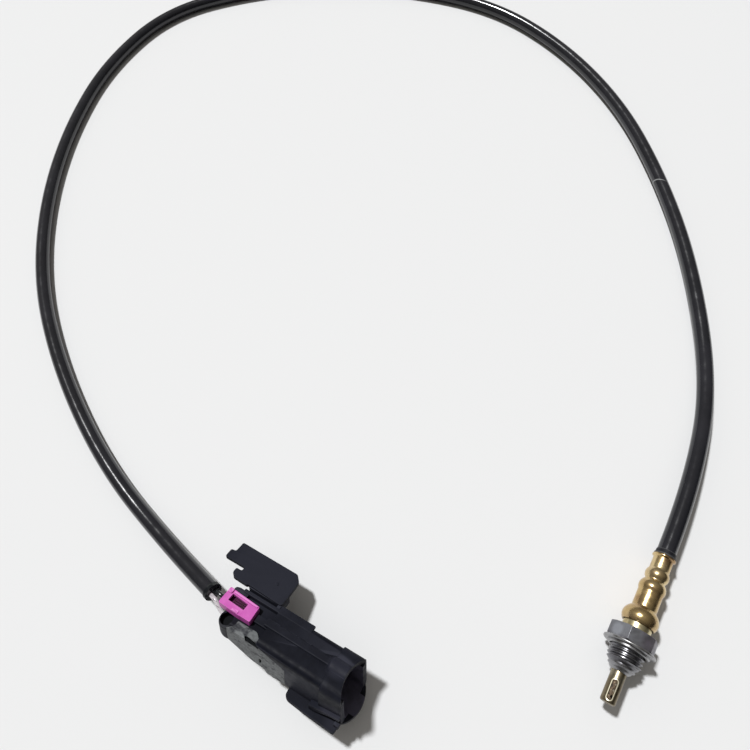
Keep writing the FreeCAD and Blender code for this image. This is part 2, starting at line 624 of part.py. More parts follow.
# Housing with rear block, sleeve, collar at the mouth and cavity
sleeve = rounded_bar("sleeve", "sleeve_start", "connector_length - sleeve_start + mouth_extra",
                     "-sleeve_half", "2 * sleeve_half", "-sleeve_bottom",
                     "(sleeve_top + sleeve_bottom)", "sleeve_corner")
mouth_collar = rounded_bar("mouth_collar", "connector_length - mouth_collar_length",
                           "mouth_collar_length + mouth_extra",
                           "(-sleeve_half - collar_width_extra)",
                           "(2 * sleeve_half + 2 * collar_width_extra)", "-sleeve_bottom",
                           "(sleeve_top + sleeve_bottom + collar_width_extra / 2)", "mouth_corner")
rear_block = rounded_bar("rear_block", "0", "sleeve_start + block_lap", "-block_near",
                         "(block_near + block_far)", "-block_bottom", "(block_top + block_bottom)",
                         "block_corner")
cavity = rounded_bar("cavity", "connector_length - cavity_depth", "cavity_depth + 6",
                     "(cavity_wall - sleeve_half)", "(2 * sleeve_half - 2 * cavity_wall)",
                     "(cavity_wall - sleeve_bottom)",
                     "(sleeve_top + sleeve_bottom - 2 * cavity_wall)", "cavity_corner")

# Far plate with its fingers
plate_low = "plate_top - plate_thick"
finger_end = "-plate_rear - finger_reach"
plate_body = block("plate_body", "-plate_rear", "plate_rear + plate_front", "plate_inner",
                   "plate_outer - plate_inner", plate_low, "plate_thick")
plate_finger = block("plate_finger", finger_end, "finger_reach + 1",
                     "finger_start", "finger_width", plate_low, "plate_thick")
plate_notch = block("plate_notch", finger_end + " - 1", "notch_depth + finger_reach + 1",
                    "finger_start - notch_width", "notch_width",
                    plate_low + " - 1", "plate_thick + 2")
plate_corner = block("plate_corner", finger_end + " - 1", "inner_finger_short + finger_reach + 1",
                     "plate_inner - 1", "finger_start - plate_inner + 1", plate_low + " - 1",
                     "plate_thick + 2")
plate = less("plate", joined("plate_whole", [plate_body, plate_finger]), joined("plate_cuts", [
    plate_notch,
    plate_corner,
    corner_waste("plate_front_round", "plate_front", "plate_outer", 1, 1, "plate_corner_radius",
                 plate_low, "plate_thick"),
    corner_waste("finger_outer_round", finger_end, "finger_start + finger_width", -1, 1,
                 "finger_round", plate_low, "plate_thick"),
    corner_waste("finger_inner_round", finger_end, "finger_start", -1, -1,
                 "finger_round", plate_low, "plate_thick"),
    corner_waste("inner_finger_round", "inner_finger_short - plate_rear", "plate_inner", -1, -1,
                 "finger_round", plate_low, "plate_thick"),
]))

# Web that carries the far plate
web_floor = block("web_floor", "web_start", "plate_front - web_start", "block_far - 1",
                  "plate_inner + web_wall - block_far + 1", "web_low", "web_thick")
web_side = block("web_side", "web_start", "plate_front - web_start", "plate_inner", "web_wall",
                 "web_low", "plate_top - web_low")
web_end = block("web_end", "plate_front - web_wall", "web_wall", "block_far - 1",
                "plate_inner + web_end_reach - block_far + 1", "web_low",
                "plate_top - web_low - plate_thick / 4")

# Near wing, flared skirt and far foot at the sleeve's bottom
wing_plate = block("wing_plate", "wing_start", "connector_length - wing_start", "-wing_outer",
                   "wing_outer - sleeve_half + 1", "-sleeve_bottom", "wing_thick")
wing = less("wing", wing_plate, corner_waste("wing_round_cut", "wing_start", "-wing_outer", -1, -1,
                                             "wing_corner", "-sleeve_bottom", "wing_thick"))
skirt_block = block("skirt_block", "skirt_start", "connector_length - skirt_start",
                    "-sleeve_half - skirt_reach", "skirt_reach + 1", "-sleeve_bottom",
                    "skirt_height")
skirt_gap = block("skirt_gap", "skirt_start + skirt_gap_place", "skirt_gap_length",
                  "-sleeve_half - skirt_reach - 1", "skirt_reach + 1",
                  "-sleeve_bottom + wing_thick", "skirt_gap_height")
skirt = less("skirt", skirt_block, skirt_gap)
foot = block("foot", "foot_start", "foot_length", "sleeve_half - 1",
             "foot_outer - sleeve_half + 1", "-sleeve_bottom", "wing_thick")

# Ridge, lock bump, rail and track on top
ridge = block("ridge", "sleeve_start", "bump_start - sleeve_start + 1",
              "ridge_side - ridge_width / 2",
              "ridge_width", "sleeve_top - 0.5", "ridge_height + 0.5")
bump_block = block("bump_block", "bump_start", "bump_length", "ridge_side - bump_half",
                   "2 * bump_half",
                   "sleeve_top - 0.5", "bump_height + 0.5")
bump_round = rod("bump_round", "bump_curve", "bump_length", "bump_start", "ridge_side",
                 "sleeve_top + bump_height - bump_curve")
bump = shared("bump", [bump_block, bump_round])
far_rail = block("far_rail", "1", "sleeve_start", "block_far - rail_width", "rail_width",
                 "block_top - 0.5", "rail_height + 0.5")
side_rail = block("side_rail", "side_rail_start", "side_rail_end - side_rail_start",
                  "sleeve_half - sleeve_corner", "sleeve_corner + side_rail_reach",
                  "sleeve_top - side_rail_height", "side_rail_height")
boss = cylinder("boss", "boss_radius", "boss_top + boss_low", "-boss_low", "boss_along", "-boss_side")
track = block("track", "clip_front + track_gap", "sleeve_start - clip_front - track_gap + 1",
              "wire_middle - track_width / 2", "track_width", "block_top - 0.5",
              "track_height + 0.5")


def above_slope(name):
    """A turned block above the sloping edge of the side cover."""
    thing = block(name, "slope_start", "2 * (cover_front - slope_start)", "-2 * sleeve_half",
                  "2 * sleeve_half", "cover_top", "2 * cover_top")
    fall = value("slope_drop") / (value("cover_front") - value("slope_start"))
    thing.Placement.Rotation = FreeCAD.Rotation(FreeCAD.Vector(0, 1, 0), math.degrees(math.atan(fall)))
    return thing


def below_slope(name, low_y, width):
    """A turned block below the slope at the near side's lower rear."""
    reach = "rear_slope_reach"
    thing = block(name, "rear_slope_end - %s * (cos(rear_slope_turn) + sin(rear_slope_turn))" % reach,
                  reach, low_y, width,
                  "-cover_low + %s * (sin(rear_slope_turn) - cos(rear_slope_turn))" % reach, reach)
    thing.Placement.Rotation = FreeCAD.Rotation(FreeCAD.Vector(0, 1, 0), value("rear_slope_turn"))
    return thing


# Space cut from the housing
mouth_cut = block("mouth_cut", "connector_length + mouth_reach * sin(mouth_slant)", "mouth_reach",
                  "-mouth_reach", "2 * mouth_reach", "-mouth_reach * cos(mouth_slant)",
                  "2 * mouth_reach")
mouth_cut.Placement.Rotation = FreeCAD.Rotation(FreeCAD.Vector(0, -1, 0), value("mouth_slant"))

lip = cylinder("lip", "lip_radius", "cavity_wall + 1", "-sleeve_bottom - 1",
               "connector_length + lip_reach - lip_radius")
scoop = cylinder("scoop", "scoop_radius", "scoop_reach + 2", "sleeve_top - scoop_reach",
                 "connector_length - scoop_depth + scoop_radius")
spaces = [
    cavity,
    less("mouth_waste", mouth_cut, lip),
    scoop,
    below_slope("block_slope", "-2 * sleeve_half", "2 * sleeve_half - rear_slope_side"),
    cylinder("boss_hole", "boss_hole_radius", "block_top - boss_hole_floor + 1", "boss_hole_floor",
             "boss_along", "-boss_side"),
]
wires = (("black", "(wire_middle + wire_pitch / 2)"), ("clear", "(wire_middle - wire_pitch / 2)"))
for kind, side in wires:
    spaces.append(rod("seal_bore_" + kind, "seal_radius", "seal_bore_length + boss_radius",
                      "-boss_radius", side, "wire_level"))
    spaces.append(block("channel_" + kind, "seal_bore_length - 1",
                        "connector_length - cavity_depth - seal_bore_length + 2",
                        side + " - channel_size / 2", "channel_size",
                        "wire_level - channel_size / 2", "channel_size"))

# The sleeve's lower rear, where the side cover lies against the near face
relief_block = block("relief_block", "sleeve_start - 1", "cover_front - sleeve_start + 1",
                     "-sleeve_half - 1", "sleeve_half - block_near + 1", "-sleeve_bottom - 1",
                     "sleeve_bottom + cover_top + 1")
spaces.append(less("relief", relief_block, above_slope("relief_slope")))

housing_body = joined("housing_body", [
    sleeve, mouth_collar, rear_block, plate, web_floor, web_side, web_end,
    wing, skirt, foot, ridge, bump, far_rail, side_rail, track, boss,
])
connector_piece(less("ConnectorHousing", housing_body, joined("spaces", spaces)),
                "connector_housing")

# Side cover along the near face
cover_plate = block("cover_plate", "cover_start", "cover_front - cover_start",
                    "-block_near - cover_thick", "cover_thick", "-cover_low - cover_step",
                    "cover_low + cover_step + cover_top")
cover_edge = block("cover_edge", "cover_start - 1", "cover_step_start - cover_start + 1",
                   "-block_near - cover_thick - 1", "cover_thick + 2",
                   "-cover_low - cover_step - 1", "cover_step + 1")
cover_recess = rod("cover_recess", "recess_radius", "recess_length", "recess_start",
                   "-block_near - cover_thick", "recess_level")
cover_groove = block("cover_groove", "groove_start", "groove_width",
                     "-block_near - cover_thick - 1", "recess_depth + 1", "-groove_length",
                     "groove_length")
boss_room = cylinder("boss_room", "boss_radius + boss_play", "4 * cover_top", "-2 * cover_top",
                     "boss_along", "-boss_side")
cover_body = less("cover_body", cover_plate, joined("cover_cuts", [
    cover_edge, cover_recess, cover_groove, boss_room, above_slope("cover_slope"),
    below_slope("cover_low_slope", "-2 * sleeve_half", "2 * sleeve_half"),
]))
connector_piece(cover_body, "side_cover")

# Lock clip on the rear block
clip_body = block("clip_body", "-clip_rear", "clip_rear + clip_front", "-clip_near",
                  "clip_near + clip_far", "block_top", "clip_height")
clip_hollow = block("clip_hollow", "clip_wall - clip_rear", "clip_rear + clip_front - 2 * clip_wall",
                    "clip_wall - clip_near", "clip_near + clip_far - 2 * clip_wall",
                    "block_top - 1", "clip_height - clip_wall + 1")
clip_window = block("clip_window", "window_start - clip_rear", "window_length",
                    "(clip_far - clip_near - window_width) / 2 + window_shift", "window_width", "block_top",
                    "clip_height + 1")
connector_piece(less("LockClip", clip_body, joined("clip_cuts", [clip_hollow, clip_window])),
                "lock_clip")

# Wire seals and terminals
for kind, side in wires:
    ring = less("seal_ring_" + kind,
                rod("seal_body_" + kind, "seal_radius", "seal_length", "seal_start", side,
                    "wire_level"),
                rod("seal_hole_" + kind, "wire_radius", "seal_length + 2", "seal_start - 1", side,
                    "wire_level"))
    connector_piece(ring, "wire_seal_" + kind)
    terminal = joined("terminal_whole_" + kind, [
        block("terminal_body_" + kind, "terminal_start", "terminal_body",
              side + " - channel_size / 2", "channel_size",
              "wire_level - channel_size / 2", "channel_size"),
        block("terminal_blade_" + kind, "terminal_start + terminal_body", "blade_length",
              side + " - blade_thick / 2", "blade_thick",
              "wire_level - channel_size / 2", "channel_size"),
    ])
    connector_piece(terminal, "terminal_" + kind)

document.recompute()


# The cord and the wires follow straight runs joined by tangent arcs.
def bent_path(points, share, name):
    """One wire of straight runs and tangent arcs through the corners given."""
    edges = []
    place = points[0]
    radii = []
    for number in range(1, len(points) - 1):
        before = points[number - 1]
        corner = points[number]
        after = points[number + 1]
        shorter = min((corner - before).Length, (after - corner).Length)
        trim = shorter * share
        way_in = (corner - before).normalize()
        way_out = (after - corner).normalize()
        half_turn = way_in.getAngle(way_out) / 2
        radii.append(trim / math.tan(half_turn))
        first = corner - way_in * trim
        last = corner + way_out * trim
        inward = (way_out - way_in).normalize()
        reach = radii[-1] / math.cos(half_turn)
        middle = corner + inward * (reach - radii[-1])
        edges.append(Part.LineSegment(place, first).toShape())
        edges.append(Part.Arc(first, middle, last).toShape())
        place = last
    edges.append(Part.LineSegment(place, points[-1]).toShape())
    path = Part.Wire(edges)
    print(name, "length %.1f mm, bends %.1f to %.1f mm" % (path.Length, min(radii), max(radii)))
    return path


def swept(points, radius, share, name):
    """A round solid along the path."""
    path = bent_path(points, share, name)
    way = (points[1] - points[0]).normalize()
    section = Part.Wire(Part.makeCircle(radius, points[0], way))
    solid = path.makePipeShell([section], True, False)
    ratio = solid.Volume / (math.pi * radius * radius * path.Length)
    print(name, "volume over section times length %.4f" % ratio)
    assert abs(ratio - 1) < 0.01, name
    return solid


def connector_point(along, side, up):
    return connector_place.multVec(FreeCAD.Vector(along, side, up))


sheath_end = connector_point(-value("sheath_end_back"), value("sheath_end_side"), value("sheath_end_level"))
rim_end = FreeCAD.Vector(0, value("rim_y") + value("grommet_flange_height"), value("axis_height"))
low = value("sheath_radius")
route = [
    sheath_end,
    FreeCAD.Vector(-165.2, -66.0, low + value("cord_lift")),
    FreeCAD.Vector(-215.0, -53.6, low),
    FreeCAD.Vector(-267.0, -28.7, low),
    FreeCAD.Vector(-312.1, 2.8, low),
    FreeCAD.Vector(-349.2, 44.4, low),
    FreeCAD.Vector(-377.4, 92.4, low),
    FreeCAD.Vector(-395.4, 145.1, low),
    FreeCAD.Vector(-393.6, 202.6, low),
    FreeCAD.Vector(-356.5, 244.7, low),
    FreeCAD.Vector(-308.3, 274.4, low),
    FreeCAD.Vector(-256.5, 292.6, low),
    FreeCAD.Vector(-199.6, 297.5, low),
    FreeCAD.Vector(-147.4, 279.7, low),
    FreeCAD.Vector(-100.8, 248.5, low),
    FreeCAD.Vector(-63.3, 206.8, low),
    FreeCAD.Vector(-33.0, 162.2, low),
    FreeCAD.Vector(-6.7, 106.7, low),
    FreeCAD.Vector(0, rim_end.y + value("cord_straight"), rim_end.z),
    rim_end,
]
sheath = document.addObject("Part::Feature", "CordSheath")
sheath.Label = "cord_sheath"
sheath.Shape = swept(route, value("sheath_radius"), value("bend_share"), "cord_sheath")
finished.append(sheath)

# Ring around the sheath's end at the connector
first_way = (route[0] - route[1]).normalize()
end_ring = less("EndRing",
                cylinder("end_ring_body", "end_ring_radius", "end_ring_length",
                         "-end_ring_length"),
                cylinder("end_ring_hole", "sheath_radius", "end_ring_length + 2",
                         "-end_ring_length - 1"))
end_ring.Label = "sheath_end_ring"
end_ring.Placement = FreeCAD.Placement(route[0], FreeCAD.Rotation(FreeCAD.Vector(0, 0, 1), first_way))
finished.append(end_ring)

# Free wires from the sheath's end into the seals
side_way = first_way.cross(up_way).normalize()
for kind, sign in (("black", -1), ("clear", 1)):
    start = route[0] + side_way * (value("wire_spread") * sign)
    side = value("wire_middle") - sign * value("wire_pitch") / 2
    corners = [
        start,
        start + first_way * value("wire_straight"),
        connector_point(-value("wire_lead_in"), side, value("wire_level")),
        connector_point(value("terminal_start"), side, value("wire_level")),
    ]
    wire = document.addObject("Part::Feature", "FreeWire_" + kind)
    wire.Label = "free_wire_" + kind
    wire.Shape = swept(corners, value("wire_radius"), value("bend_share"), wire.Label)
    finished.append(wire)

document.recompute()

# Write one file for each piece
os.makedirs("parts", exist_ok=True)
for thing in document.Objects:
    state = [word for word in thing.State if word in ("Invalid", "Error")]
    assert not state, (thing.Label, thing.State)
for thing in finished:
    shape = thing.Shape
    assert not shape.isNull() and shape.isValid(), thing.Label
    assert len(shape.Solids) == 1, (thing.Label, len(shape.Solids))
    box = shape.BoundBox
    print("%-22s volume %9.2f  x %.1f..%.1f  y %.1f..%.1f  z %.2f..%.2f" % (
        thing.Label, shape.Volume, box.XMin, box.XMax, box.YMin, box.YMax, box.ZMin, box.ZMax))
    shape.exportStep(os.path.join("parts", thing.Label + ".step"))
print(len(finished), "pieces")
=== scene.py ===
# %% [markdown]
# # An oxygen sensor with its cord and its connector
# The part comes as plain solids, and this lesson gives it the looks of the real
# thing. Everything is in metres in the part's own frame: the sensor lies along Y
# with its tip toward -Y, the connector lies to its left, and the floor is z = 0.

# %% Load the part
import math

import bpy
from mathutils import Matrix, Vector


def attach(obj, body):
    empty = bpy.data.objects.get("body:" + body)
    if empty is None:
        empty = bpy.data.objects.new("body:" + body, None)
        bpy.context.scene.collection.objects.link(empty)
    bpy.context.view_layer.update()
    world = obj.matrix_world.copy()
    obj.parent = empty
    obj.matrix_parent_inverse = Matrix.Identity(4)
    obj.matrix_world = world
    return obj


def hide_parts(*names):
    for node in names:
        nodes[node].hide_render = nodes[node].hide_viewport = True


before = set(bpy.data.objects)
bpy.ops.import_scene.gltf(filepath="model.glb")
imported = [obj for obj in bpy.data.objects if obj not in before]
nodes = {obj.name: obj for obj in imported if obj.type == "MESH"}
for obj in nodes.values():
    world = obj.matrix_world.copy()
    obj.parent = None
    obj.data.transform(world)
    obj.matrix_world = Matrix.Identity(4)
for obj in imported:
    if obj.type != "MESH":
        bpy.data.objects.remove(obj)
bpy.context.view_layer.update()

print("The part has", len(nodes), "pieces")

# %% [markdown]
# ## The camera
# The photograph was taken from close by, so the cord looks thicker near the lens
# than at the far side of its loop. A short lens close to the part gives the same.
# It stands above the gap between the connector and the sensor and looks steeply
# down on the loop.

# %% Camera
bpy.ops.object.camera_add(
    location=(-0.05822, -0.0516, 0.24511),
    rotation=[math.radians(turn) for turn in (26.0502, 4.1201, 31.146)],
)
camera = bpy.context.object
camera.name = "photo_camera"
camera.data.sensor_width = 36
camera.data.lens = 28.8
camera.data.clip_start = 0.005
bpy.context.scene.camera = camera
print("The camera stands at", tuple(round(place, 3) for place in camera.location))

# %% [markdown]
# ## Light and floor
# A product photograph has one large lamp and a room full of stray light. Here a
# sun lamp a few degrees wide, up and to the left, gives the soft but clear shadow.
# A dim room, brighter on the lamp's side, fills the shadows and gives the metal
# something to mirror. The floor is plain and pale.

# %% Light and floor
scene = bpy.context.scene
scene.view_settings.view_transform = "Standard"
world = bpy.data.worlds.new("room")
scene.world = world
world.use_nodes = True
room = world.node_tree
glow = room.nodes["Background"]
glow.inputs["Color"].default_value = (1.0, 0.955, 0.89, 1)
sky_way = room.nodes.new("ShaderNodeTexCoord")
lamp_side = room.nodes.new("ShaderNodeVectorMath")
lamp_side.operation = "DOT_PRODUCT"
lamp_side.inputs[1].default_value = Vector((-0.5, 0.25, 0.83)).normalized()
fade = room.nodes.new("ShaderNodeMapRange")
fade.inputs["From Min"].default_value = -0.1
fade.inputs["From Max"].default_value = 1.0
fade.inputs["To Min"].default_value = 0.05
fade.inputs["To Max"].default_value = 0.34
room.links.new(sky_way.outputs["Generated"], lamp_side.inputs[0])
room.links.new(lamp_side.outputs["Value"], fade.inputs["Value"])
room.links.new(fade.outputs["Result"], glow.inputs["Strength"])

bpy.ops.object.light_add(type="SUN", location=(-0.4, 0.15, 0.9))
lamp = bpy.context.object
lamp.name = "lamp"
lamp.data.energy = 3.08
lamp.data.angle = math.radians(5)
lamp.data.color = (0.985, 0.992, 1.0)
lamp.rotation_euler = Vector((-0.42, 0.153, 0.913)).to_track_quat("Z", "Y").to_euler()

bpy.ops.mesh.primitive_plane_add(size=6, location=(-0.2, 0.1, -0.0001))
floor = bpy.context.object
floor.name = "floor"
print("Lamp and floor are in place")

# %% [markdown]
# ## Helpers for materials
# Real metal and plastic are never one even colour: oil, heat, handling and the
# mould leave patches, dull spots and fine relief. Pictures could show these, but
# noise worked out from the place on the object stays sharp at any distance and
# needs no unwrapping. So each material starts as one shader, and each helper
# below lays one such layer over it; some helpers also lay painted highlight or
# painted shade.


# %% Material helpers
# The sockets of a mix node when it blends colours.
MIX_SHARE, MIX_UNDER, MIX_OVER, MIX_RESULT = 0, 6, 7, 2


def shader(name, colour, rough, metal=0.0, coat=0.0, shine=0.4):
    """A material with one colour and one roughness, to be layered."""
    made = bpy.data.materials.new(name)
    made.use_nodes = True
    face = made.node_tree.nodes["Principled BSDF"]
    face.inputs["Base Color"].default_value = (*colour, 1)
    face.inputs["Roughness"].default_value = rough
    face.inputs["Metallic"].default_value = metal
    face.inputs["Coat Weight"].default_value = coat
    face.inputs["Coat Roughness"].default_value = 0.12
    face.inputs["Specular IOR Level"].default_value = shine
    return made


def places(tree, scale, stretch):
    """Places on the object, in metres times the scale."""
    spot = tree.nodes.new("ShaderNodeTexCoord")
    fit = tree.nodes.new("ShaderNodeMapping")
    fit.inputs["Scale"].default_value = [scale * each for each in stretch]
    tree.links.new(spot.outputs["Object"], fit.inputs["Vector"])
    return fit.outputs["Vector"]


def cloud(tree, scale, low, high, stretch=(1, 1, 1)):
    """A noise that runs from 0 below low to 1 above high."""
    noise = tree.nodes.new("ShaderNodeTexNoise")
    noise.inputs["Scale"].default_value = 1.0
    noise.inputs["Detail"].default_value = 4
    tree.links.new(places(tree, scale, stretch), noise.inputs["Vector"])
    fit = tree.nodes.new("ShaderNodeMapRange")
    fit.inputs["From Min"].default_value = low
    fit.inputs["From Max"].default_value = high
    tree.links.new(noise.outputs["Fac"], fit.inputs["Value"])
    return fit.outputs["Result"]


def mixed(made, share, colour, amount):
    """Lays a colour over what the material has, as strongly as share says."""
    tree = made.node_tree
    under = tree.nodes["Principled BSDF"].inputs["Base Color"]
    mix = tree.nodes.new("ShaderNodeMix")
    mix.data_type = "RGBA"
    if under.links:
        tree.links.new(under.links[0].from_socket, mix.inputs[MIX_UNDER])
    else:
        mix.inputs[MIX_UNDER].default_value = under.default_value
    mix.inputs[MIX_OVER].default_value = (*colour, 1)
    strength = tree.nodes.new("ShaderNodeMath")
    strength.operation = "MULTIPLY"
    strength.inputs[1].default_value = amount
    tree.links.new(share, strength.inputs[0])
    tree.links.new(strength.outputs[0], mix.inputs[MIX_SHARE])
    tree.links.new(mix.outputs[MIX_RESULT], under)


def patches(made, colour, scale, low, high, amount, stretch=(1, 1, 1)):
    """Another colour in cloudy patches."""
    mixed(made, cloud(made.node_tree, scale, low, high, stretch), colour, amount)


def uneven(made, least, most, scale):
    """Roughness that wanders between two values."""
    tree = made.node_tree
    fit = tree.nodes.new("ShaderNodeMapRange")
    fit.inputs["To Min"].default_value = least
    fit.inputs["To Max"].default_value = most
    tree.links.new(cloud(tree, scale, 0.3, 0.7), fit.inputs["Value"])
    tree.links.new(fit.outputs["Result"], tree.nodes["Principled BSDF"].inputs["Roughness"])


print("The first material helpers are ready")

# %% [markdown]
# ## Relief, worn and lit edges, and single spots
# Fine relief is a bump in the shading, because it is far smaller than any face.
# Real wear on the metal and a painted sheen on the connector's housing sit on the
# outer edges, which Pointiness finds. Where one mark, one painted highlight or
# one painted shade sits at one place, a soft spot is laid there by its distance.


# %% Relief, worn and lit edges, spots
def relief(made, scale, height, stretch=(1, 1, 1), low=0.2, high=0.8):
    """Fine relief of the given height in metres."""
    tree = made.node_tree
    face = tree.nodes["Principled BSDF"]
    bump = tree.nodes.new("ShaderNodeBump")
    bump.inputs["Strength"].default_value = 1.0
    bump.inputs["Distance"].default_value = height
    if face.inputs["Normal"].links:
        tree.links.new(face.inputs["Normal"].links[0].from_socket, bump.inputs["Normal"])
    tree.links.new(cloud(tree, scale, low, high, stretch), bump.inputs["Height"])
    tree.links.new(bump.outputs["Normal"], face.inputs["Normal"])


def edge_wear_and_sheen(made, colour, amount):
    """Another colour along the sharp outer edges: wear, and on the housing a painted sheen."""
    tree = made.node_tree
    form = tree.nodes.new("ShaderNodeNewGeometry")
    fit = tree.nodes.new("ShaderNodeMapRange")
    fit.inputs["From Min"].default_value = 0.53
    fit.inputs["From Max"].default_value = 0.62
    tree.links.new(form.outputs["Pointiness"], fit.inputs["Value"])
    mixed(made, fit.outputs["Result"], colour, amount)


def near(made, spot, reach, colour, amount, stretch=(1, 1, 1)):
    """Another colour within reach of one place on the object."""
    full_share = 0.6
    tree = made.node_tree
    where = tree.nodes.new("ShaderNodeTexCoord")
    away = tree.nodes.new("ShaderNodeVectorMath")
    away.operation = "SUBTRACT"
    away.inputs[1].default_value = spot
    fit = tree.nodes.new("ShaderNodeVectorMath")
    fit.operation = "MULTIPLY"
    fit.inputs[1].default_value = stretch
    length = tree.nodes.new("ShaderNodeVectorMath")
    length.operation = "LENGTH"
    soft_edge = tree.nodes.new("ShaderNodeMapRange")
    soft_edge.inputs["From Min"].default_value = reach
    soft_edge.inputs["From Max"].default_value = reach * full_share
    tree.links.new(where.outputs["Object"], away.inputs[0])
    tree.links.new(away.outputs[0], fit.inputs[0])
    tree.links.new(fit.outputs[0], length.inputs[0])
    tree.links.new(length.outputs["Value"], soft_edge.inputs["Value"])
    mixed(made, soft_edge.outputs["Result"], colour, amount)


print("All material helpers are ready")

# %% [markdown]
# ## Metals
# The cover is pressed brass with brown stains and drawing marks along it, and its
# collar is paler. The hexagon and thread are dark oiled steel with bright worn
# edges, the washer is greyer, and heat has stained the tube. Metallic is full and
# the roughness wanders, so that the highlights break up as on handled metal.

# %% Metals
brass = shader("pressed_brass", (0.60, 0.44, 0.21), 0.24, metal=1.0)
patches(brass, (0.34, 0.21, 0.11), 170, 0.42, 0.68, 0.85)
patches(brass, (0.80, 0.66, 0.40), 75, 0.5, 0.7, 0.6)
uneven(brass, 0.17, 0.33, 700)
relief(brass, 900, 0.00001)
relief(brass, 300, 0.000015, stretch=(1, 9, 1))

gilt = shader("pale_gilt", (0.66, 0.58, 0.36), 0.32, metal=1.0)
patches(gilt, (0.42, 0.34, 0.18), 300, 0.45, 0.65, 0.8)
uneven(gilt, 0.24, 0.42, 600)

gunmetal = shader("oiled_steel", (0.27, 0.275, 0.30), 0.46, metal=1.0)
patches(gunmetal, (0.36, 0.37, 0.40), 140, 0.45, 0.7, 0.8)
patches(gunmetal, (0.15, 0.13, 0.16), 300, 0.5, 0.7, 0.8)
# The hexagon's left face, turned to the lamp, gets a painted highlight, and its right side a
# painted shade.
near(gunmetal, (-0.0059, -0.0056, 0.0125), 0.0028, (0.45, 0.47, 0.52), 0.75)
near(gunmetal, (0.0055, -0.0055, 0.0145), 0.006, (0.15, 0.135, 0.16), 0.8)
uneven(gunmetal, 0.36, 0.56, 600)
relief(gunmetal, 1500, 0.000015)
edge_wear_and_sheen(gunmetal, (0.75, 0.74, 0.7), 0.9)

thread_steel = shader("dark_thread_steel", (0.2, 0.2, 0.215), 0.33, metal=1.0)
patches(thread_steel, (0.1, 0.095, 0.105), 260, 0.45, 0.65, 0.8)
# The nose beyond the thread is lighter.
near(thread_steel, (0, -0.0175, 0.009), 0.0065, (0.33, 0.33, 0.34), 0.85, stretch=(1, 1.6, 1))
uneven(thread_steel, 0.24, 0.42, 700)
relief(thread_steel, 1300, 0.000014)
edge_wear_and_sheen(thread_steel, (0.7, 0.7, 0.7), 0.85)

washer_steel = shader("washer_steel", (0.3, 0.3, 0.31), 0.34, metal=1.0)
patches(washer_steel, (0.15, 0.145, 0.145), 380, 0.46, 0.66, 0.85)
uneven(washer_steel, 0.24, 0.42, 800)
relief(washer_steel, 1300, 0.000014)
edge_wear_and_sheen(washer_steel, (0.75, 0.75, 0.75), 0.85)

tube_steel = shader("stained_steel", (0.30, 0.27, 0.2), 0.36, metal=1.0)
patches(tube_steel, (0.15, 0.115, 0.07), 300, 0.42, 0.65, 0.9)
patches(tube_steel, (0.4, 0.33, 0.2), 180, 0.5, 0.7, 0.6)
# The stain is deepest at the tip.
near(tube_steel, (0, -0.0285, 0.009), 0.009, (0.2, 0.16, 0.1), 0.75)
uneven(tube_steel, 0.26, 0.46, 900)
relief(tube_steel, 1400, 0.00001)

cut_edge = shader("bright_cut_edge", (0.9, 0.84, 0.64), 0.36, metal=0.5)
patches(cut_edge, (0.7, 0.6, 0.38), 900, 0.5, 0.7, 0.6)

inner_steel = shader("brown_inner_steel", (0.1, 0.07, 0.045), 0.6, metal=0.6)
patches(inner_steel, (0.34, 0.27, 0.17), 1500, 0.56, 0.64, 0.8)
patches(inner_steel, (0.03, 0.022, 0.016), 1100, 0.5, 0.6, 0.9)
relief(inner_steel, 1800, 0.00004)

bare_steel = shader("bright_spring_steel", (0.62, 0.62, 0.62), 0.28, metal=1.0)
uneven(bare_steel, 0.2, 0.36, 900)

tinned = shader("tinned_terminal", (0.72, 0.68, 0.58), 0.26, metal=1.0)
uneven(tinned, 0.18, 0.34, 900)
print("Materials so far:", len(bpy.data.materials))

# %% [markdown]
# ## Ceramic, rubber, cord and wires
# The cord's sheath is smooth extruded plastic, almost black, with a thin gloss
# over faint waves, so a coat is laid over a dark base. One wire is black and the
# other clear, with its strands showing through as grey streaks along it. The
# ceramics and seals are seldom seen and stay simple.

# %% Ceramic, rubber, cord and wires
porcelain = shader("white_ceramic", (0.78, 0.77, 0.72), 0.45)
patches(porcelain, (0.66, 0.64, 0.58), 500, 0.5, 0.7, 0.5)
relief(porcelain, 2500, 0.00001)

element = shader("element_ceramic", (0.24, 0.2, 0.15), 0.55)
patches(element, (0.1, 0.08, 0.06), 900, 0.5, 0.65, 0.8)

dark_rubber = shader("dark_rubber", (0.011, 0.011, 0.014), 0.5, shine=0.15)
patches(dark_rubber, (0.03, 0.03, 0.035), 700, 0.5, 0.7, 0.7)
edge_wear_and_sheen(dark_rubber, (0.25, 0.25, 0.25), 0.5)
relief(dark_rubber, 2600, 0.00002)

seal_rubber = shader("seal_rubber", (0.10, 0.11, 0.12), 0.55)
patches(seal_rubber, (0.15, 0.16, 0.17), 800, 0.45, 0.7, 0.6)

lead_jacket = shader("lead_jacket", (0.7, 0.7, 0.68), 0.4)
patches(lead_jacket, (0.55, 0.55, 0.53), 600, 0.5, 0.7, 0.5)

sheath_black = shader("cord_sheath_black", (0.0085, 0.009, 0.0125), 0.17, coat=0.3)
patches(sheath_black, (0.018, 0.018, 0.024), 60, 0.4, 0.7, 0.7)
patches(sheath_black, (0.024, 0.024, 0.03), 900, 0.6, 0.75, 0.5)
# A short pale nick lies across the sheath on the loop's right side.
nick_place = (-0.0653, 0.2042, 0.0055)
near(sheath_black, nick_place, 0.0035, (0.3, 0.31, 0.31), 0.8, stretch=(0.7, 11, 0.5))
uneven(sheath_black, 0.12, 0.24, 260)
relief(sheath_black, 420, 0.00002)
relief(sheath_black, 2600, 0.000004)

ring_plastic = shader("dark_ring_plastic", (0.009, 0.01, 0.012), 0.3, shine=0.1)
patches(ring_plastic, (0.05, 0.054, 0.052), 500, 0.5, 0.65, 0.7)

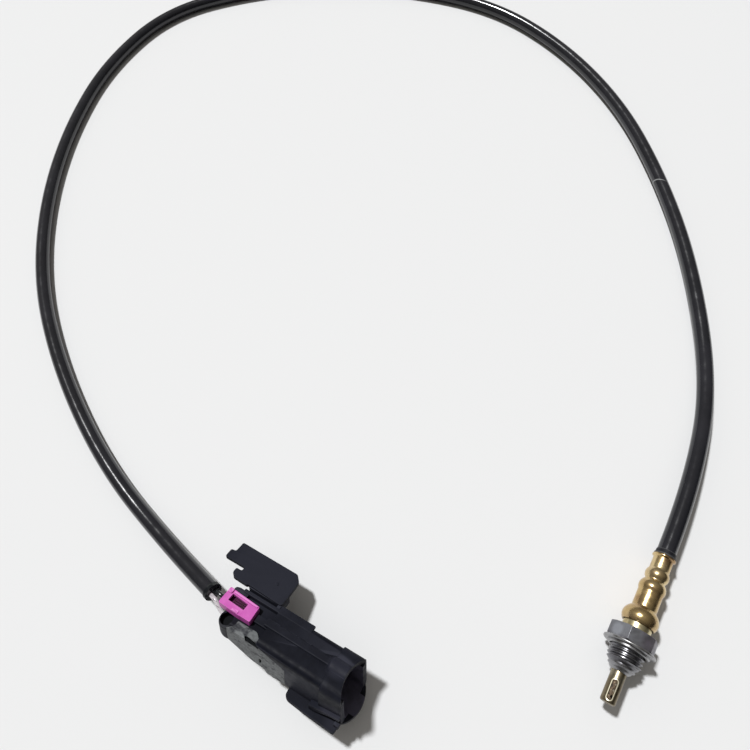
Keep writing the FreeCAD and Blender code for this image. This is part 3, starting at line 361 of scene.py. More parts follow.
wire_black = shader("black_wire_jacket", (0.012, 0.014, 0.015), 0.2, coat=0.4)
patches(wire_black, (0.03, 0.035, 0.036), 500, 0.5, 0.7, 0.6)

wire_clear = shader("clear_wire_jacket", (0.6, 0.57, 0.59), 0.16, coat=0.6)
patches(wire_clear, (0.16, 0.14, 0.16), 500, 0.52, 0.6, 0.8, stretch=(0.3, 1.6, 1.6))
print("Materials so far:", len(bpy.data.materials))

# %% [markdown]
# ## Plastics of the connector
# The housing is dull black glass-filled nylon, so it is darker and rougher than
# the cord and has little shine. Four places on it catch more light, and there a
# painted highlight lightens its colour; its outer edges get a painted sheen. The
# side cover is rough grey plastic and the clip is magenta. Holes get a darker
# material than their surroundings, a painted shade, as light hardly reaches them,
# and the mouth's inside gets a paler one, a painted fill light.

# %% Plastics of the connector
housing_plastic = shader("housing_plastic", (0.0045, 0.005, 0.009), 0.5, shine=0.08)
patches(housing_plastic, (0.013, 0.0145, 0.022), 110, 0.4, 0.7, 0.7)
patches(housing_plastic, (0.004, 0.0044, 0.007), 420, 0.5, 0.7, 0.6)
# Painted highlights on the far plate, the bump at the mouth, the side by the boss and the lip.
near(housing_plastic, (-0.1244, -0.0545, 0.0148), 0.019, (0.0175, 0.0185, 0.027), 0.85)
near(housing_plastic, (-0.0821, -0.0655, 0.025), 0.005, (0.022, 0.023, 0.034), 0.8)
near(housing_plastic, (-0.1243, -0.0786, 0.0173), 0.0065, (0.05, 0.052, 0.055), 0.8)
near(housing_plastic, (-0.0763, -0.0791, 0.017), 0.007, (0.028, 0.028, 0.04), 0.7)
uneven(housing_plastic, 0.42, 0.6, 400)
relief(housing_plastic, 3000, 0.000012)
# Painted sheen: the housing's outer edges are lightened where they catch light.
edge_wear_and_sheen(housing_plastic, (0.05, 0.052, 0.07), 0.45)

deep_shade = shader("hole_shade", (0.004, 0.005, 0.006), 0.7, shine=0.1)

# Painted fill light: the mouth's inside gets a paler colour than the housing, for light bounced
# into it.
mouth_painted_fill = shader("mouth_inside_painted_fill", (0.09, 0.085, 0.125), 0.6, shine=0.2)
patches(mouth_painted_fill, (0.05, 0.048, 0.07), 300, 0.45, 0.65, 0.7)

cover_plastic = shader("side_cover_plastic", (0.118, 0.126, 0.13), 0.55, shine=0.3)
patches(cover_plastic, (0.02, 0.022, 0.028), 330, 0.53, 0.6, 0.9)
patches(cover_plastic, (0.18, 0.19, 0.195), 260, 0.5, 0.7, 0.6)
uneven(cover_plastic, 0.42, 0.64, 700)
relief(cover_plastic, 800, 0.00018, low=0.3, high=0.7)

clip_plastic = shader("magenta_clip", (0.50, 0.06, 0.37), 0.42, shine=0.3)
patches(clip_plastic, (0.6, 0.11, 0.46), 300, 0.4, 0.7, 0.7)
relief(clip_plastic, 2400, 0.00001)
edge_wear_and_sheen(clip_plastic, (0.86, 0.36, 0.74), 0.6)

# Painted shade: the clip's magenta as it looks in shade, for the window's floor and bars.
clip_shade = shader("clip_window_painted_shade", (0.075, 0.006, 0.055), 0.5, shine=0.2)
patches(clip_shade, (0.03, 0.012, 0.012), 1100, 0.48, 0.6, 0.9)

pale_floor = shader("pale_floor", (0.79, 0.795, 0.8), 0.8)
floor.data.materials.append(pale_floor)
print("Materials made:", len(bpy.data.materials))

# %% [markdown]
# ## Dress the solids
# Every solid gets its finish here, so that the pieces inside look right too when
# the part is opened. The ones that are modelled again below hide theirs.

# %% Dress the solids
dressed = {
    "cover_shell": brass,
    "retaining_collar": gilt,
    "threaded_shell": gunmetal,
    "sealing_washer": washer_steel,
    "protection_tube": tube_steel,
    "inner_tube": inner_steel,
    "sensing_element": element,
    "upper_bush": porcelain,
    "talc_ring": porcelain,
    "lower_ceramic": porcelain,
    "ceramic_insulator": porcelain,
    "contact_spring_left": bare_steel,
    "contact_spring_right": bare_steel,
    "grommet": dark_rubber,
    "lead_wire_left": lead_jacket,
    "lead_wire_right": lead_jacket,
    "cord_sheath": sheath_black,
    "sheath_end_ring": ring_plastic,
    "free_wire_black": wire_black,
    "free_wire_clear": wire_clear,
    "connector_housing": housing_plastic,
    "side_cover": cover_plastic,
    "lock_clip": clip_plastic,
    "wire_seal_black": seal_rubber,
    "wire_seal_clear": seal_rubber,
    "terminal_black": tinned,
    "terminal_clear": tinned,
}
for name, made in dressed.items():
    nodes[name].data.materials.clear()
    nodes[name].data.materials.append(made)
print("Solids dressed:", len(dressed))

# %% [markdown]
# ## The cord
# The cord is a stiff sheath that leaves the sensor's grommet, comes down to the
# floor and runs round the loop to the connector. It could be swept along many
# small arcs, but a smooth curve through a few points with a round bevel bends as
# a real cord does. The points are the corners of the route, which the curve
# rounds off, and on the floor its middle lies one radius up.

# %% Cord
cord_radius = 0.00335
route = [
    (0, 0.02875, 0.009),
    (0, 0.05695, 0.009),
    (-0.0067, 0.1067, cord_radius),
    (-0.0330, 0.1622, cord_radius),
    (-0.0633, 0.2068, cord_radius),
    (-0.1008, 0.2485, cord_radius),
    (-0.1474, 0.2797, cord_radius),
    (-0.1996, 0.2975, cord_radius),
    (-0.2565, 0.2926, cord_radius),
    (-0.3083, 0.2744, cord_radius),
    (-0.3565, 0.2447, cord_radius),
    (-0.3936, 0.2026, cord_radius),
    (-0.3954, 0.1451, cord_radius),
    (-0.3774, 0.0924, cord_radius),
    (-0.3492, 0.0444, cord_radius),
    (-0.3121, 0.0028, cord_radius),
    (-0.2670, -0.0287, cord_radius),
    (-0.2150, -0.0536, cord_radius),
    (-0.1652, -0.0660, 0.00495),
    (-0.13749, -0.06975, 0.01302),
]
line = bpy.data.curves.new("cord_line", "CURVE")
line.dimensions = "3D"
line.resolution_u = 20
line.bevel_depth = cord_radius
line.bevel_resolution = 10
line.use_fill_caps = True
run = line.splines.new("NURBS")
run.points.add(len(route) - 1)
for point, place in zip(run.points, route):
    point.co = (*place, 1)
run.order_u = 3
run.use_endpoint_u = True
cord = bpy.data.objects.new("cord", line)
scene.collection.objects.link(cord)
line.materials.append(sheath_black)
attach(cord, "root")
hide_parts("cord_sheath")
print("The cord has", len(route), "points")

# %% [markdown]
# ## Helpers for shapes
# The sensor's pieces are turned or pressed round, so each starts as a circle that
# is extruded and resized ring by ring, as a turner works along a bar on a lathe.
# Everything is made in millimetres in a frame of its own, which keeps the numbers
# readable, and is put in its place when it is finished.

# %% Shape helpers
MILLI = 0.001
# The sensor's frame has Z from the cover's rim toward the tip and Y up.
sensor_frame = Matrix(((1, 0, 0, 0), (0, 0, -1, 26.65), (0, 1, 0, 9.0), (0, 0, 0, 1)))


def fresh():
    """Deselects everything."""
    bpy.ops.object.select_all(action="DESELECT")


def alone(thing):
    """Selects one piece and makes it the active one."""
    fresh()
    thing.select_set(True)
    bpy.context.view_layer.objects.active = thing


def pull(move):
    """Extrudes what is selected by the given move."""
    bpy.ops.mesh.extrude_region_move(TRANSFORM_OT_translate={"value": move})


def weld():
    """Merges points that meet, turns the faces outward and leaves edit mode."""
    bpy.ops.mesh.select_all(action="SELECT")
    bpy.ops.mesh.remove_doubles(threshold=0.0005)
    bpy.ops.mesh.normals_make_consistent(inside=False)
    bpy.ops.object.mode_set(mode="OBJECT")


def turned(name, rings, sides=72):
    """A turned piece: each ring is its place along Z and its radius."""
    fresh()
    place, radius = rings[0]
    bpy.ops.mesh.primitive_circle_add(vertices=sides, radius=radius, location=(0, 0, place))
    thing = bpy.context.object
    thing.name = name
    bpy.ops.object.transform_apply(location=True)
    bpy.ops.object.mode_set(mode="EDIT")
    bpy.ops.mesh.select_all(action="SELECT")
    for along, wide in rings[1:]:
        pull((0, 0, along - place))
        share = wide / radius
        bpy.ops.transform.resize(value=(share, share, 1), center_override=(0, 0, along))
        place, radius = along, wide
    weld()
    return thing


print("Helpers for turned pieces are ready")

# %% [markdown]
# ## Helpers for cuts and joins
# A drill or a mould takes away or adds a simple body, and the boolean modifier
# does the same. A tool that has a material of its own leaves it on the cut faces,
# which is how the inside of a hole gets a painted shade, darker than its
# surroundings, and the mouth's inside a painted fill light. The last helper
# settles a finished piece in its place in metres. It weights the normals before
# that, because the modifier doesn't tell faces measured in metres apart.


# %% Helpers for cuts and joins
def use(thing, kind, **settings):
    """Adds a modifier and applies it."""
    alone(thing)
    step = thing.modifiers.new(kind.lower(), kind)
    for key, value in settings.items():
        setattr(step, key, value)
    bpy.ops.object.modifier_apply(modifier=step.name)


def bevel(thing, width, segments, turn):
    """Rounds the edges that turn by more than the given angle."""
    limit = math.radians(turn)
    use(thing, "BEVEL", width=width, segments=segments, limit_method="ANGLE", angle_limit=limit)


def match(thing, other):
    """A piece without a material takes the material of the piece it joins."""
    if thing.data.materials and not other.data.materials:
        other.data.materials.append(thing.data.materials[0])


def combine(thing, other, operation, way="INDEX"):
    """Applies a boolean with the other piece, which is then used up."""
    use(thing, "BOOLEAN", operation=operation, solver="EXACT", material_mode=way, object=other)
    bpy.data.objects.remove(other)


def within(thing, limit):
    """Keeps only what lies inside the limit."""
    combine(thing, limit, "INTERSECT")


def minus(thing, *tools):
    """Cuts the tools away."""
    for tool in tools:
        match(thing, tool)
        combine(thing, tool, "DIFFERENCE", "TRANSFER" if tool.data.materials else "INDEX")


def plus(thing, *others):
    """Unites the others with the piece into one body."""
    for other in others:
        match(thing, other)
        combine(thing, other, "UNION")


def together(thing, *others):
    """Makes one object of the pieces and leaves their shapes as they are."""
    fresh()
    for other in (*others, thing):
        match(thing, other)
        other.select_set(True)
    bpy.context.view_layer.objects.active = thing
    bpy.ops.object.join()


def settle(thing, frame_of_piece, made, slot_name, *stands_for, angle=35):
    """Puts a finished piece in its place and gives it its looks."""
    alone(thing)
    bpy.ops.object.shade_smooth_by_angle(angle=math.radians(angle))
    use(thing, "WEIGHTED_NORMAL", keep_sharp=True)
    thing.data.transform(Matrix.Scale(MILLI, 4) @ frame_of_piece)
    if not thing.data.materials:
        thing.data.materials.append(made)
    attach(thing, "root")
    if stands_for:
        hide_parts(*stands_for)
    print(thing.name, "has", len(thing.data.polygons), "faces")


print("Helpers for cuts and joins are ready")

# %% [markdown]
# ## The brass cover
# The cover is a pressed shell with a rolled rim, two crimp beads that grip the
# cord, a barrel and a bell over the hexagon's neck. Its outline could be drawn
# point by point, but at each place it is the largest of a few plain forms, and a
# little blending gives the soft joins that pressing leaves. A wall's thickness
# further in, the same outline runs back as the inside.

# %% Cover
blend = 0.09
wall = 0.5


def bulge(along, middle, half, radius):
    """The radius of an oval bead at a place along the cover."""
    share = (along - middle) / half
    return radius * math.sqrt(1 - share * share) if abs(share) < 1 else 0


def outline(along):
    """The radius of the whole cover at a place along it."""
    forms = [
        3.5 if along < 11 else 0,  # the neck
        4.3 if 12.4 < along < 24.6 else 0,  # the barrel
        bulge(along, 7.67, 3.6, 4.2),  # the bead next to the cord
        bulge(along, 12.75, 4.0, 4.7),  # the bead at the barrel
        bulge(along, 24.65, 5.0, 6.3),  # the bell
    ]
    top = max(forms)
    return top + blend * math.log(sum(math.exp((form - top) / blend) for form in forms if form))


rim_end, spacing, ring_count = 1.1, 0.25, 104
steps = [rim_end + spacing * number for number in range(ring_count)]
rings = [(0.25, 3.1), (0.0, 3.5), (-0.04, 3.8), (0.08, 4.05)]
rings += [(0.35, 4.15), (0.62, 4.08), (0.85, 3.75)]
rings += [(along, outline(along)) for along in steps]
rings += [(27.0, 5.58), (27.07, 5.4), (27.0, 5.15)]
rings += [(along, outline(along) - wall) for along in reversed(steps[::2])]
rings += [(0.6, 3.02), (0.25, 3.1)]
settle(turned("brass_cover", rings, 96), sensor_frame, brass, "brass_cover", "cover_shell")

# %% [markdown]
# ## Collar and grommet
# A pale ring holds the cover on the shell, and a rubber plug with a thin flange
# seals the cord in the cover's rim. Both are plain turned parts, so a handful of
# rings gives each.

# %% Collar and grommet
rings = [(22.9, 4.35), (22.9, 5.15), (25.1, 5.2), (25.2, 4.95), (28.8, 4.95)]
rings += [(29.25, 5.02), (29.5, 5.15), (29.55, 5.1), (29.55, 4.35), (22.9, 4.35)]
settle(turned("gilt_collar", rings), sensor_frame, gilt, "pale_collar", "retaining_collar")

rings = [(-1.1, 0.01), (-1.1, 3.37), (-2.2, 3.38), (-2.23, 3.42), (-2.1, 3.5), (-1.6, 3.54)]
rings += [(-1.1, 3.56), (-0.75, 3.66), (-0.6, 3.86), (-0.15, 3.84), (0.0, 3.4), (0.05, 3.0)]
rings += [(7.0, 2.95), (7.0, 0.01)]
settle(turned("rubber_grommet", rings), sensor_frame, dark_rubber, "grommet_rubber", "grommet")

# %% [markdown]
# ## Hexagon and nose
# On the real shell the hexagon is milled from a bar and its corners are chamfered
# on a lathe. So it starts as a six-sided bar, and a turned lens takes the corners
# off, which gives the curved chamfer lines. The shank behind the thread and the
# nose, with its crimp over the tube, are turned.

# %% Hexagon and nose
fresh()
half_flats = 7.5
corner_radius = half_flats / math.cos(math.radians(30))
bpy.ops.mesh.primitive_cylinder_add(
    vertices=6, radius=corner_radius, depth=5.1, location=(0, 0, 32.1)
)
hexagon = bpy.context.object
hexagon.name = "steel_shell"
bpy.ops.object.transform_apply(location=True)
hexagon.data.transform(Matrix.Rotation(math.radians(-37), 4, "Z"))
rings = [(29.55, 0.01), (29.55, 7.9), (29.9, 8.72), (34.3, 8.72), (34.65, 7.9), (34.65, 0.01)]
within(hexagon, turned("chamfer", rings, 96))
bevel(hexagon, 0.24, 3, 25)

rings = [(21.95, 0.01), (21.95, 4.25), (29.7, 4.25), (34.5, 4.9), (34.55, 5.5), (36.75, 5.5)]
rings += [(36.8, 5.15), (41.0, 5.15), (41.15, 5.38), (41.6, 5.05), (42.0, 4.55), (42.35, 4.58)]
rings += [(42.65, 4.72), (42.9, 4.55), (43.2, 4.0), (43.6, 3.75), (43.9, 3.6), (44.2, 3.2)]
rings += [(44.5, 2.95), (44.52, 2.75), (44.4, 2.62), (42.4, 2.62)]
shank = turned("shank", rings, 96)
print("The hexagon has", len(hexagon.data.polygons), "faces")

# %% [markdown]
# ## Thread
# A thread is one groove wound round the shank. A bump in the material would not
# show at the outline, so the thread is real: the outline of one tooth is drawn
# point by point, and the screw modifier winds it. It is then cut down inside the
# washer and fades out toward the nose, as a die leaves it.

# %% Thread
root, crest, pitch, thread_start = 5.13, 5.96, 1.5, 35.13
washer_end, inside_washer = 36.8, 5.45
thread_end, end_radius, fade_slope, least = 41.35, 5.3, 1.2, 4.0
fresh()
bpy.ops.mesh.primitive_plane_add(size=0.1)
thread = bpy.context.object
thread.name = "thread"
bpy.ops.object.mode_set(mode="EDIT")
bpy.ops.mesh.merge(type="CENTER")
bpy.ops.transform.translate(value=(root, 0, thread_start))
tooth = [(root, 0), (root, 0.15), (5.89, 0.62), (crest, 0.7)]
tooth += [(crest, 0.8), (5.89, 0.88), (root, 1.35), (root, pitch)]
for before, after in zip(tooth, tooth[1:]):
    pull((after[0] - before[0], 0, after[1] - before[1]))
bpy.ops.object.mode_set(mode="OBJECT")
use(
    thread,
    "SCREW",
    axis="Z",
    angle=2 * math.pi,
    screw_offset=pitch,
    iterations=4,
    steps=72,
    render_steps=72,
)
for corner in thread.data.vertices:
    flat = math.hypot(corner.co.x, corner.co.y)
    if corner.co.z < washer_end:
        limit = inside_washer
    else:
        limit = max(least, min(crest, end_radius + (thread_end - corner.co.z) * fade_slope))
    if flat > limit:
        corner.co.x *= limit / flat
        corner.co.y *= limit / flat
alone(thread)
bpy.ops.object.mode_set(mode="EDIT")
weld()

hexagon.data.materials.append(gunmetal)
for piece in (thread, shank):
    piece.data.materials.append(thread_steel)
together(hexagon, thread, shank)
settle(hexagon, sensor_frame, gunmetal, "dark_steel", "threaded_shell", angle=30)

# %% [markdown]
# ## Folded washer
# The crush washer is thin sheet folded on itself: a wide upper fold and a
# narrower tier below. From outside only the two round folds show, so a turned
# ring with their outline looks the same as folded sheet would.

# %% Washer
rings = [(34.67, 6.07), (34.65, 6.2), (34.65, 8.3), (34.72, 8.68), (34.9, 8.9), (35.2, 8.99)]
rings += [(35.5, 8.93), (35.72, 8.7), (35.85, 8.3), (35.88, 7.65), (35.96, 7.42), (36.2, 7.4)]
rings += [(36.55, 7.36), (36.72, 7.15), (36.75, 6.8), (36.75, 6.3), (36.6, 6.1), (35.5, 6.07)]
rings += [(34.67, 6.07)]
washer = turned("folded_washer", rings, 96)
settle(washer, sensor_frame, washer_steel, "washer_steel", "sealing_washer")

# %% [markdown]
# ## Protection tube
# The tube at the tip is closed at its end and has one long slot, through which
# the stained inner tube is seen. Shearing the slot leaves a bright rim, which is
# a thin band round the slot: a slice of a slightly wider tube, cut to a bar that
# is a little larger than the slot and then cut open again.

# %% Protection tube
rings = [(41.8, 2.25), (41.8, 3.15), (42.25, 3.15), (42.3, 2.6), (54.7, 2.6), (55.0, 2.55)]
rings += [(55.22, 2.4), (55.35, 2.15), (55.4, 1.85), (55.4, 1.2), (55.25, 0.9), (55.2, 0.01)]
rings += [(54.9, 0.01), (54.95, 1.55), (54.85, 2.0), (54.6, 2.17), (41.9, 2.2), (41.8, 2.25)]
tube = turned("slotted_tube", rings, 64)
half_straight = 2.62
slot_middle = (0, 2.9, 50.97)
slot_turn = math.radians(14)


def slot_bar(half_width):
    """A long rounded bar through the slot's place, with the given half width."""
    fresh()
    bpy.ops.mesh.primitive_cylinder_add(vertices=32, radius=half_width, depth=3)
    bar = bpy.context.object
    for corner in bar.data.vertices:
        corner.co.y += half_straight if corner.co.y > 0.001 else -half_straight
    upright = Matrix.Rotation(math.radians(90), 4, "X")
    bar.data.transform(Matrix.Translation(slot_middle) @ upright)
    bar.data.transform(Matrix.Rotation(slot_turn, 4, "Z"))
    return bar


minus(tube, slot_bar(0.95))
rings = [(47.0, 2.15), (47.0, 2.69), (55.0, 2.69), (55.0, 2.15), (47.0, 2.15)]
slot_rim = turned("slot_rim", rings, 96)
within(slot_rim, slot_bar(1.2))
minus(slot_rim, slot_bar(0.9))
settle(slot_rim, sensor_frame, cut_edge, "tube_steel")
settle(tube, sensor_frame, tube_steel, "tube_steel", "protection_tube")

# %% [markdown]
# ## Helpers for the connector
# The connector is moulded and lies tilted on the floor. Its pieces are drawn flat
# in a frame of its own, with X toward the mouth, Y toward its far side and Z up,
# and the frame is turned once. A moulded piece starts as a filled circle with as
# many points as its outline has. The points are moved to the outline, which is
# extruded into a bar, and the bar's edges are bevelled, as a mould's are.

# %% Connector helpers
yaw, pitch_up, roll = (math.radians(turn) for turn in (2.5, 4.7, 24.9))
level = math.cos(pitch_up)
ahead = Vector((math.cos(yaw) * level, math.sin(yaw) * level, math.sin(pitch_up)))
level_side = Vector((-math.sin(yaw), math.cos(yaw), 0))
level_up = ahead.cross(level_side)
far_way = level_side * math.cos(roll) - level_up * math.sin(roll)
up_way = level_up * math.cos(roll) + level_side * math.sin(roll)
turns = Matrix((ahead, far_way, up_way)).transposed().to_4x4()
connector_frame = Matrix.Translation((-126.45, -72.35, 12.03)) @ turns


def box(low_x, high_x, low_y, high_y):
    """The four corners of a rectangle."""
    return [(low_x, low_y), (high_x, low_y), (high_x, high_y), (low_x, high_y)]


def rounded(corners, radius):
    """The outline with each corner rounded off, over less than half of each side."""
    steps = 5
    most = 0.48
    points = []
    for number, spot in enumerate(corners):
        corner = Vector(spot)
        before = Vector(corners[number - 1]) - corner
        after = Vector(corners[(number + 1) % len(corners)]) - corner
        first = corner + before.normalized() * min(radius, before.length * most)
        last = corner + after.normalized() * min(radius, after.length * most)
        for step in range(steps + 1):
            share = step / steps
            points.append(first.lerp(corner, share).lerp(corner.lerp(last, share), share))
    return points


def moulded(name, corners, way, start, end, radius, edge):
    """A bar along X, Y or Z with the given outline across it.

    The radius rounds the outline's corners, and edge bevels the bar's edges.
    """
    lay = {
        "X": lambda spot: (start, spot[0], spot[1]),
        "Y": lambda spot: (spot[0], start, spot[1]),
        "Z": lambda spot: (spot[0], spot[1], start),
    }[way]
    points = rounded(corners, radius) if radius else corners
    fresh()
    bpy.ops.mesh.primitive_circle_add(vertices=len(points), fill_type="NGON", calc_uvs=False)
    thing = bpy.context.object
    thing.name = name
    for corner, spot in zip(thing.data.vertices, points):
        corner.co = lay(spot)
    bpy.ops.object.mode_set(mode="EDIT")
    bpy.ops.mesh.select_all(action="SELECT")
    pull([(end - start) if axis == way else 0 for axis in "XYZ"])
    bpy.ops.mesh.select_all(action="SELECT")
    bpy.ops.mesh.normals_make_consistent(inside=False)
    bpy.ops.object.mode_set(mode="OBJECT")
    if edge:
        bevel(thing, edge, 2, 30)
    return thing


def round_bar(name, way, radius, start, end, first, second, sides=32):
    """A round bar along X, Y or Z at the two other places."""
    ring = [2 * math.pi * number / sides for number in range(sides)]
    corners = [(first + radius * math.cos(turn), second + radius * math.sin(turn)) for turn in ring]
    return moulded(name, corners, way, start, end, radius=0, edge=0)


print("Connector helpers are ready")

# %% [markdown]
# ## Connector body
# The rear block, the sleeve and the collar at the mouth are one hollow moulding,
# so they are united into one body and then cut. The mouth's top edge is scooped
# out and its lower edge stands out as a lip. The boss has a hole with a painted
# shade on its faces, the mouth's inside gets a painted fill light, a bump stands
# on the mouth's collar, and a last fine bevel softens every cut edge.

# %% Connector body
boss_middle = (2.3, -4.2)
wire_sides = (-2.1, 2.9)
body = moulded("connector_body", box(-6.2, 7.0, -9.3, 7.2), "X", 0, 20, 1.2, 0.4)
sleeve = moulded("sleeve", box(-7.7, 7.7, -9.55, 9.55), "X", 16.5, 52, 2.6, 0.5)
mouth = moulded("mouth", box(-8.5, 8.5, -9.55, 9.95), "X", 43, 56.5, 3.4, 0.35)
boss = round_bar("boss", "Z", 3.7, -1.5, 6.5, *boss_middle, 48)
bevel(boss, 0.5, 3, 60)
bump = round_bar("bump", "X", 3.9, 41.5, 51, 0.55, 7.0, 64)
bevel(bump, 1.3, 6, 60)
within(bump, moulded("limit", box(-2.6, 3.3, 8.6, 12), "X", 41, 52, 0.5, 0))
body.data.materials.append(housing_plastic)
plus(body, sleeve, mouth, boss, bump)

side_room = [(15.5, -12), (28.7, -12), (28.7, 3.8), (16.3, 8.4), (15.5, 8.4)]
side_room_tool = moulded("relief", side_room, "Y", -10, -6.2, 0, 0)
slope = [(14.8, -5.8), (-10, 5.82), (-10, -15), (10.5, -15)]
slope_tool = moulded("slope", slope, "Y", -20, -4.4, 0, 0)
waste = moulded("waste", [(52.9, -12), (51.1, 12), (72, 12), (72, -12)], "Y", -15, 15, 0, 0)
minus(waste, round_bar("lip", "Z", 12.3, -12, -8.1, 43.1, 0, 96))
scoop = round_bar("scoop", "Z", 13.2, 6.05, 13, 62.1, 0, 96)
cavity = moulded("cavity", box(-6.25, 6.25, -8.1, 8.1), "X", 30, 60, 2.4, 0)
# The mouth's inside gets the painted fill light.
cavity.data.materials.append(mouth_painted_fill)
boss_hole = round_bar("boss_hole", "Z", 2.45, 4.2, 12, 1.6, -4.6, 48)
boss_hole.data.materials.append(deep_shade)
minus(body, boss_hole, side_room_tool, slope_tool, waste, scoop, cavity)
for side in wire_sides:
    minus(body, round_bar("bore", "X", 2.1, -2, 9, side, 1.5))
bevel(body, 0.16, 2, 40)
print("The hollow body has", len(body.data.polygons), "faces")

# %% [markdown]
# ## Ridge, rails and arm
# A ridge with three shallow marks runs along the top, rails guide the lock clip,
# and an arm stands beside it. They are small and only rest on the body, so they
# are joined to it without a boolean, which keeps its clean faces.

# %% Ridge, rails and arm
ridge = moulded("ridge", box(-0.9, 2.1, 8.8, 10.15), "X", 15.2, 42.5, 0.5, 0.3)
for start, end in ((20.5, 24.5), (27.5, 31.0), (33.5, 40.5)):
    minus(ridge, moulded("mark", box(start, end, 1.65, 2.3), "Z", 9.7, 10.6, 0.15, 0))
side_rail = moulded("side_rail", box(5.4, 8.4, 8.3, 9.55), "X", 16.4, 30.8, 0.3, 0.2)
far_rail = moulded("far_rail", box(5.6, 7.0, 6.7, 9.4), "X", 1, 17.3, 0.3, 0.25)
near_rail = moulded("near_rail", box(-6.1, -4.4, 6.7, 8.0), "X", 9.5, 17.2, 0.3, 0.25)
track = moulded("track", box(-1.1, 1.9, 6.7, 8.4), "X", 10.7, 17.3, 0.3, 0.25)
arm_shape = [(-2.7, 4.2), (-2.7, 5.9), (-1.2, 6.5), (3.5, 6.5), (3.5, 4.2)]
arm = moulded("arm", arm_shape, "Z", 5.8, 9.0, 0.8, 0.35)
together(body, ridge, side_rail, far_rail, near_rail, track, arm)
print("With its ridge, rails and arm it has", len(body.data.polygons), "faces")

# %% [markdown]
# ## Plate, wing and foot
# The far plate has two fingers and a small pip and stands on a web. The near
# wing carries a strap, a low wall over an arch, and a flat foot lies low on the
# sleeve's far side. Flat plates are quickest as an outline that is pulled to its
# thickness, and the strap is such an outline seen from the side.

# %% Plate, wing and foot
plate_shape = [(-11.9, 21.6), (-12.0, 17.2), (-14.0, 17.0), (-14.0, 13.4), (-4.7, 13.4)]
plate_shape += [(-4.7, 11.7), (-7.2, 11.7), (-7.2, 9.6), (-5.7, 8.2), (0.5, 8.0), (0.9, 8.5)]
plate_shape += [(15.5, 8.0), (16.2, 8.4), (16.2, 19.0), (13.9, 21.4)]
plate = moulded("plate", plate_shape, "Z", 8.1, 9.8, 0.7, 0.35)
pip = round_bar("pip", "Z", 0.75, 9.6, 10.05, 9.7, 14.2, 24)
bevel(pip, 0.3, 3, 60)
web_floor = moulded("web_floor", box(1.5, 16.2, 6.0, 9.5), "Z", 4.6, 6.2, 0.3, 0.25)
web_side = moulded("web_side", box(1.5, 16.2, 8.0, 9.5), "Z", 4.6, 9.0, 0.3, 0.25)
web_end = moulded("web_end", box(14.7, 16.2, 6.0, 13.0), "Z", 4.6, 9.2, 0.3, 0.3)
wing_shape = [(30.4, -7), (30.4, -8.6), (30.6, -10.1), (32.1, -11.2), (40, -11.75)]
wing_shape += [(51.6, -12.1), (52.0, -7)]
wing = moulded("wing", wing_shape, "Z", -9.55, -7.95, 0.9, 0.35)
strap_side = [(39.9, -8.3), (39.9, -4.9), (45.5, -3.0), (52.2, -1.2), (52.2, -2.9)]
strap_side += [(49.8, -3.2), (46.7, -4.6), (43.9, -6.6), (41.8, -8.3)]
strap = moulded("strap", strap_side, "Y", -9.7, -7.3, 0.5, 0.3)
link = moulded("link", box(50.2, 52.2, -10.0, -7), "Z", -9, -6.5, 0.3, 0.2)
foot = moulded("foot", box(24, 42, 6.7, 12.6), "Z", -9.55, -7.95, 1.5, 0.35)
together(body, plate, pip, web_floor, web_side, web_end, wing, strap, link, foot)
settle(body, connector_frame, housing_plastic, "housing_plastic", "connector_housing")

# %% [markdown]
# ## Side cover
# A rough grey cover lies against the near side and laps over the rear block's
# top. It has an oval recess, a short upright groove and a nick, and clears the
# boss. Its roughness is in the material, and its recesses are cut, because their
# edges catch the light.

# %% Side cover
cover_shape = [(1.8, 0.4), (4.5, -0.8), (8.9, -3.0), (14.4, -5.5), (19.4, -5.9), (20.6, -8.2)]
cover_shape += [(28.7, -7.9), (28.7, 3.6), (16.3, 8.2), (2.2, 8.2)]
side_cover = moulded("rough_cover", cover_shape, "Y", -7.7, -6.25, 0.9, 0.3)
side_cover.data.materials.append(cover_plastic)
minus(side_cover, moulded("groove", box(17.8, 18.7, -3.0, 0.1), "Y", -8.2, -7.0, 0.3, 0))
minus(side_cover, moulded("nick", box(7.0, 9.2, 5.0, 5.5), "Y", -8.2, -7.3, 0.2, 0))
strip_shape = [(5.2, -7.5), (6.0, -3.6), (14.1, -3.4), (15.0, -3.9), (17.4, -6.1), (17.4, -7.5)]
plus(side_cover, moulded("strip", strip_shape, "Z", 6.9, 8.1, 0.6, 0.25))
oval = [(11.4, -6.7), (13.0, -6.5), (17.3, -7.0), (18.3, -7.9)]
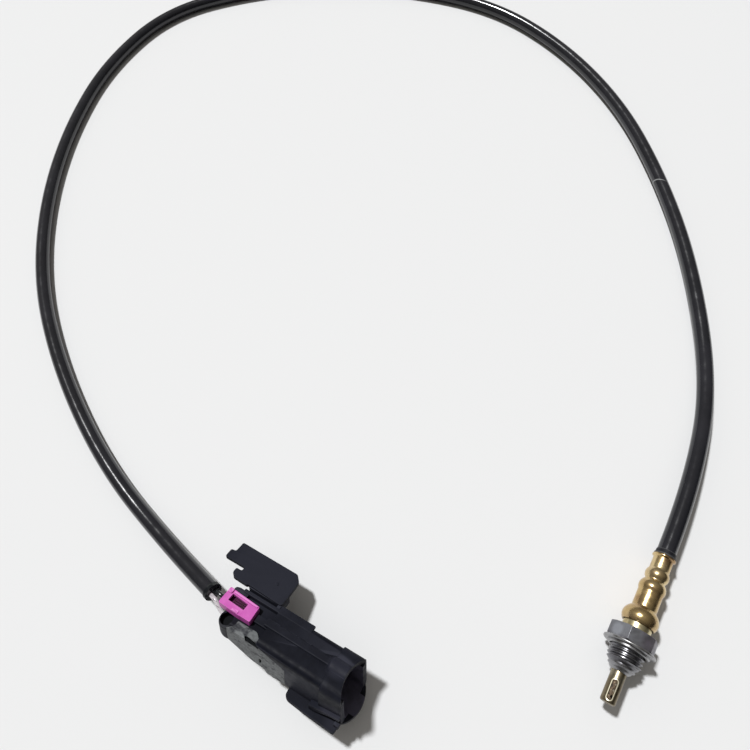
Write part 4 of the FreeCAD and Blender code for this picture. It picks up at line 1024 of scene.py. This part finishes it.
oval += [(16.5, -8.3), (14.0, -8.2), (12.0, -7.6)]
oval_tool = moulded("oval", oval, "Z", 7.3, 9, 0.7, 0)
oval_tool.data.materials.append(deep_shade)
minus(side_cover, oval_tool)
minus(side_cover, round_bar("boss_room", "Z", 3.9, -6, 12, *boss_middle, 48))
settle(side_cover, connector_frame, cover_plastic, "cover_plastic", "side_cover")

# %% [markdown]
# ## Lock clip
# The clip is a moulded cap that slides on the rear block and locks the wires in.
# It is hollow, and its window shows a ribbed floor in shade, so the floor and
# three bars are pieces of their own with a darker material, a painted shade of
# the magenta, joined below the window.

# %% Lock clip
clip_shape = [(-3.7, -2.5), (5.8, -2.9), (6.1, -2.8), (10.5, -2.8), (10.1, 3.5), (-3.6, 4.3)]
clip = moulded("clip", clip_shape, "Z", 7.2, 10.2, 0.5, 0.3)
clip.data.materials.append(clip_plastic)
minus(clip, moulded("clip_room", box(-2.7, 9.3, -1.8, 3.0), "Z", 6, 9.2, 0.3, 0))
window_shape = [(-1.2, -0.15), (5.95, -0.45), (6.0, 2.15), (-1.15, 2.65)]
minus(clip, moulded("window", window_shape, "Z", 8, 11, 0.25, 0))
window_floor = moulded("window_floor", box(-2.5, 8, -1.6, 2.9), "Z", 7.4, 7.9, 0.2, 0)
bar_width = 0.45
bars = []
for side in (0.1, 0.9, 1.7):
    bars.append(moulded("bar", box(0.2, 5.2, side, side + bar_width), "Z", 7.7, 8.5, 0.1, 0.1))
# The window's floor and bars get the painted shade.
for piece in (window_floor, *bars):
    piece.data.materials.append(clip_shade)
rim_shape = [(-1.0, 3.0), (9.6, 2.55), (9.8, 3.3), (-1.0, 3.95)]
rim = moulded("rim", rim_shape, "Z", 10.0, 10.55, 0.25, 0.2)
tab = moulded("tab", box(2.2, 5.0, -2.7, -1.5), "Z", 10.0, 10.5, 0.3, 0.2)
clip_step = moulded("clip_step", box(-3.4, -1.5, 2.2, 4.2), "Z", 10.0, 10.8, 0.6, 0.3)
together(clip, window_floor, rim, tab, clip_step, *bars)
settle(clip, connector_frame, clip_plastic, "clip_plastic", "lock_clip")
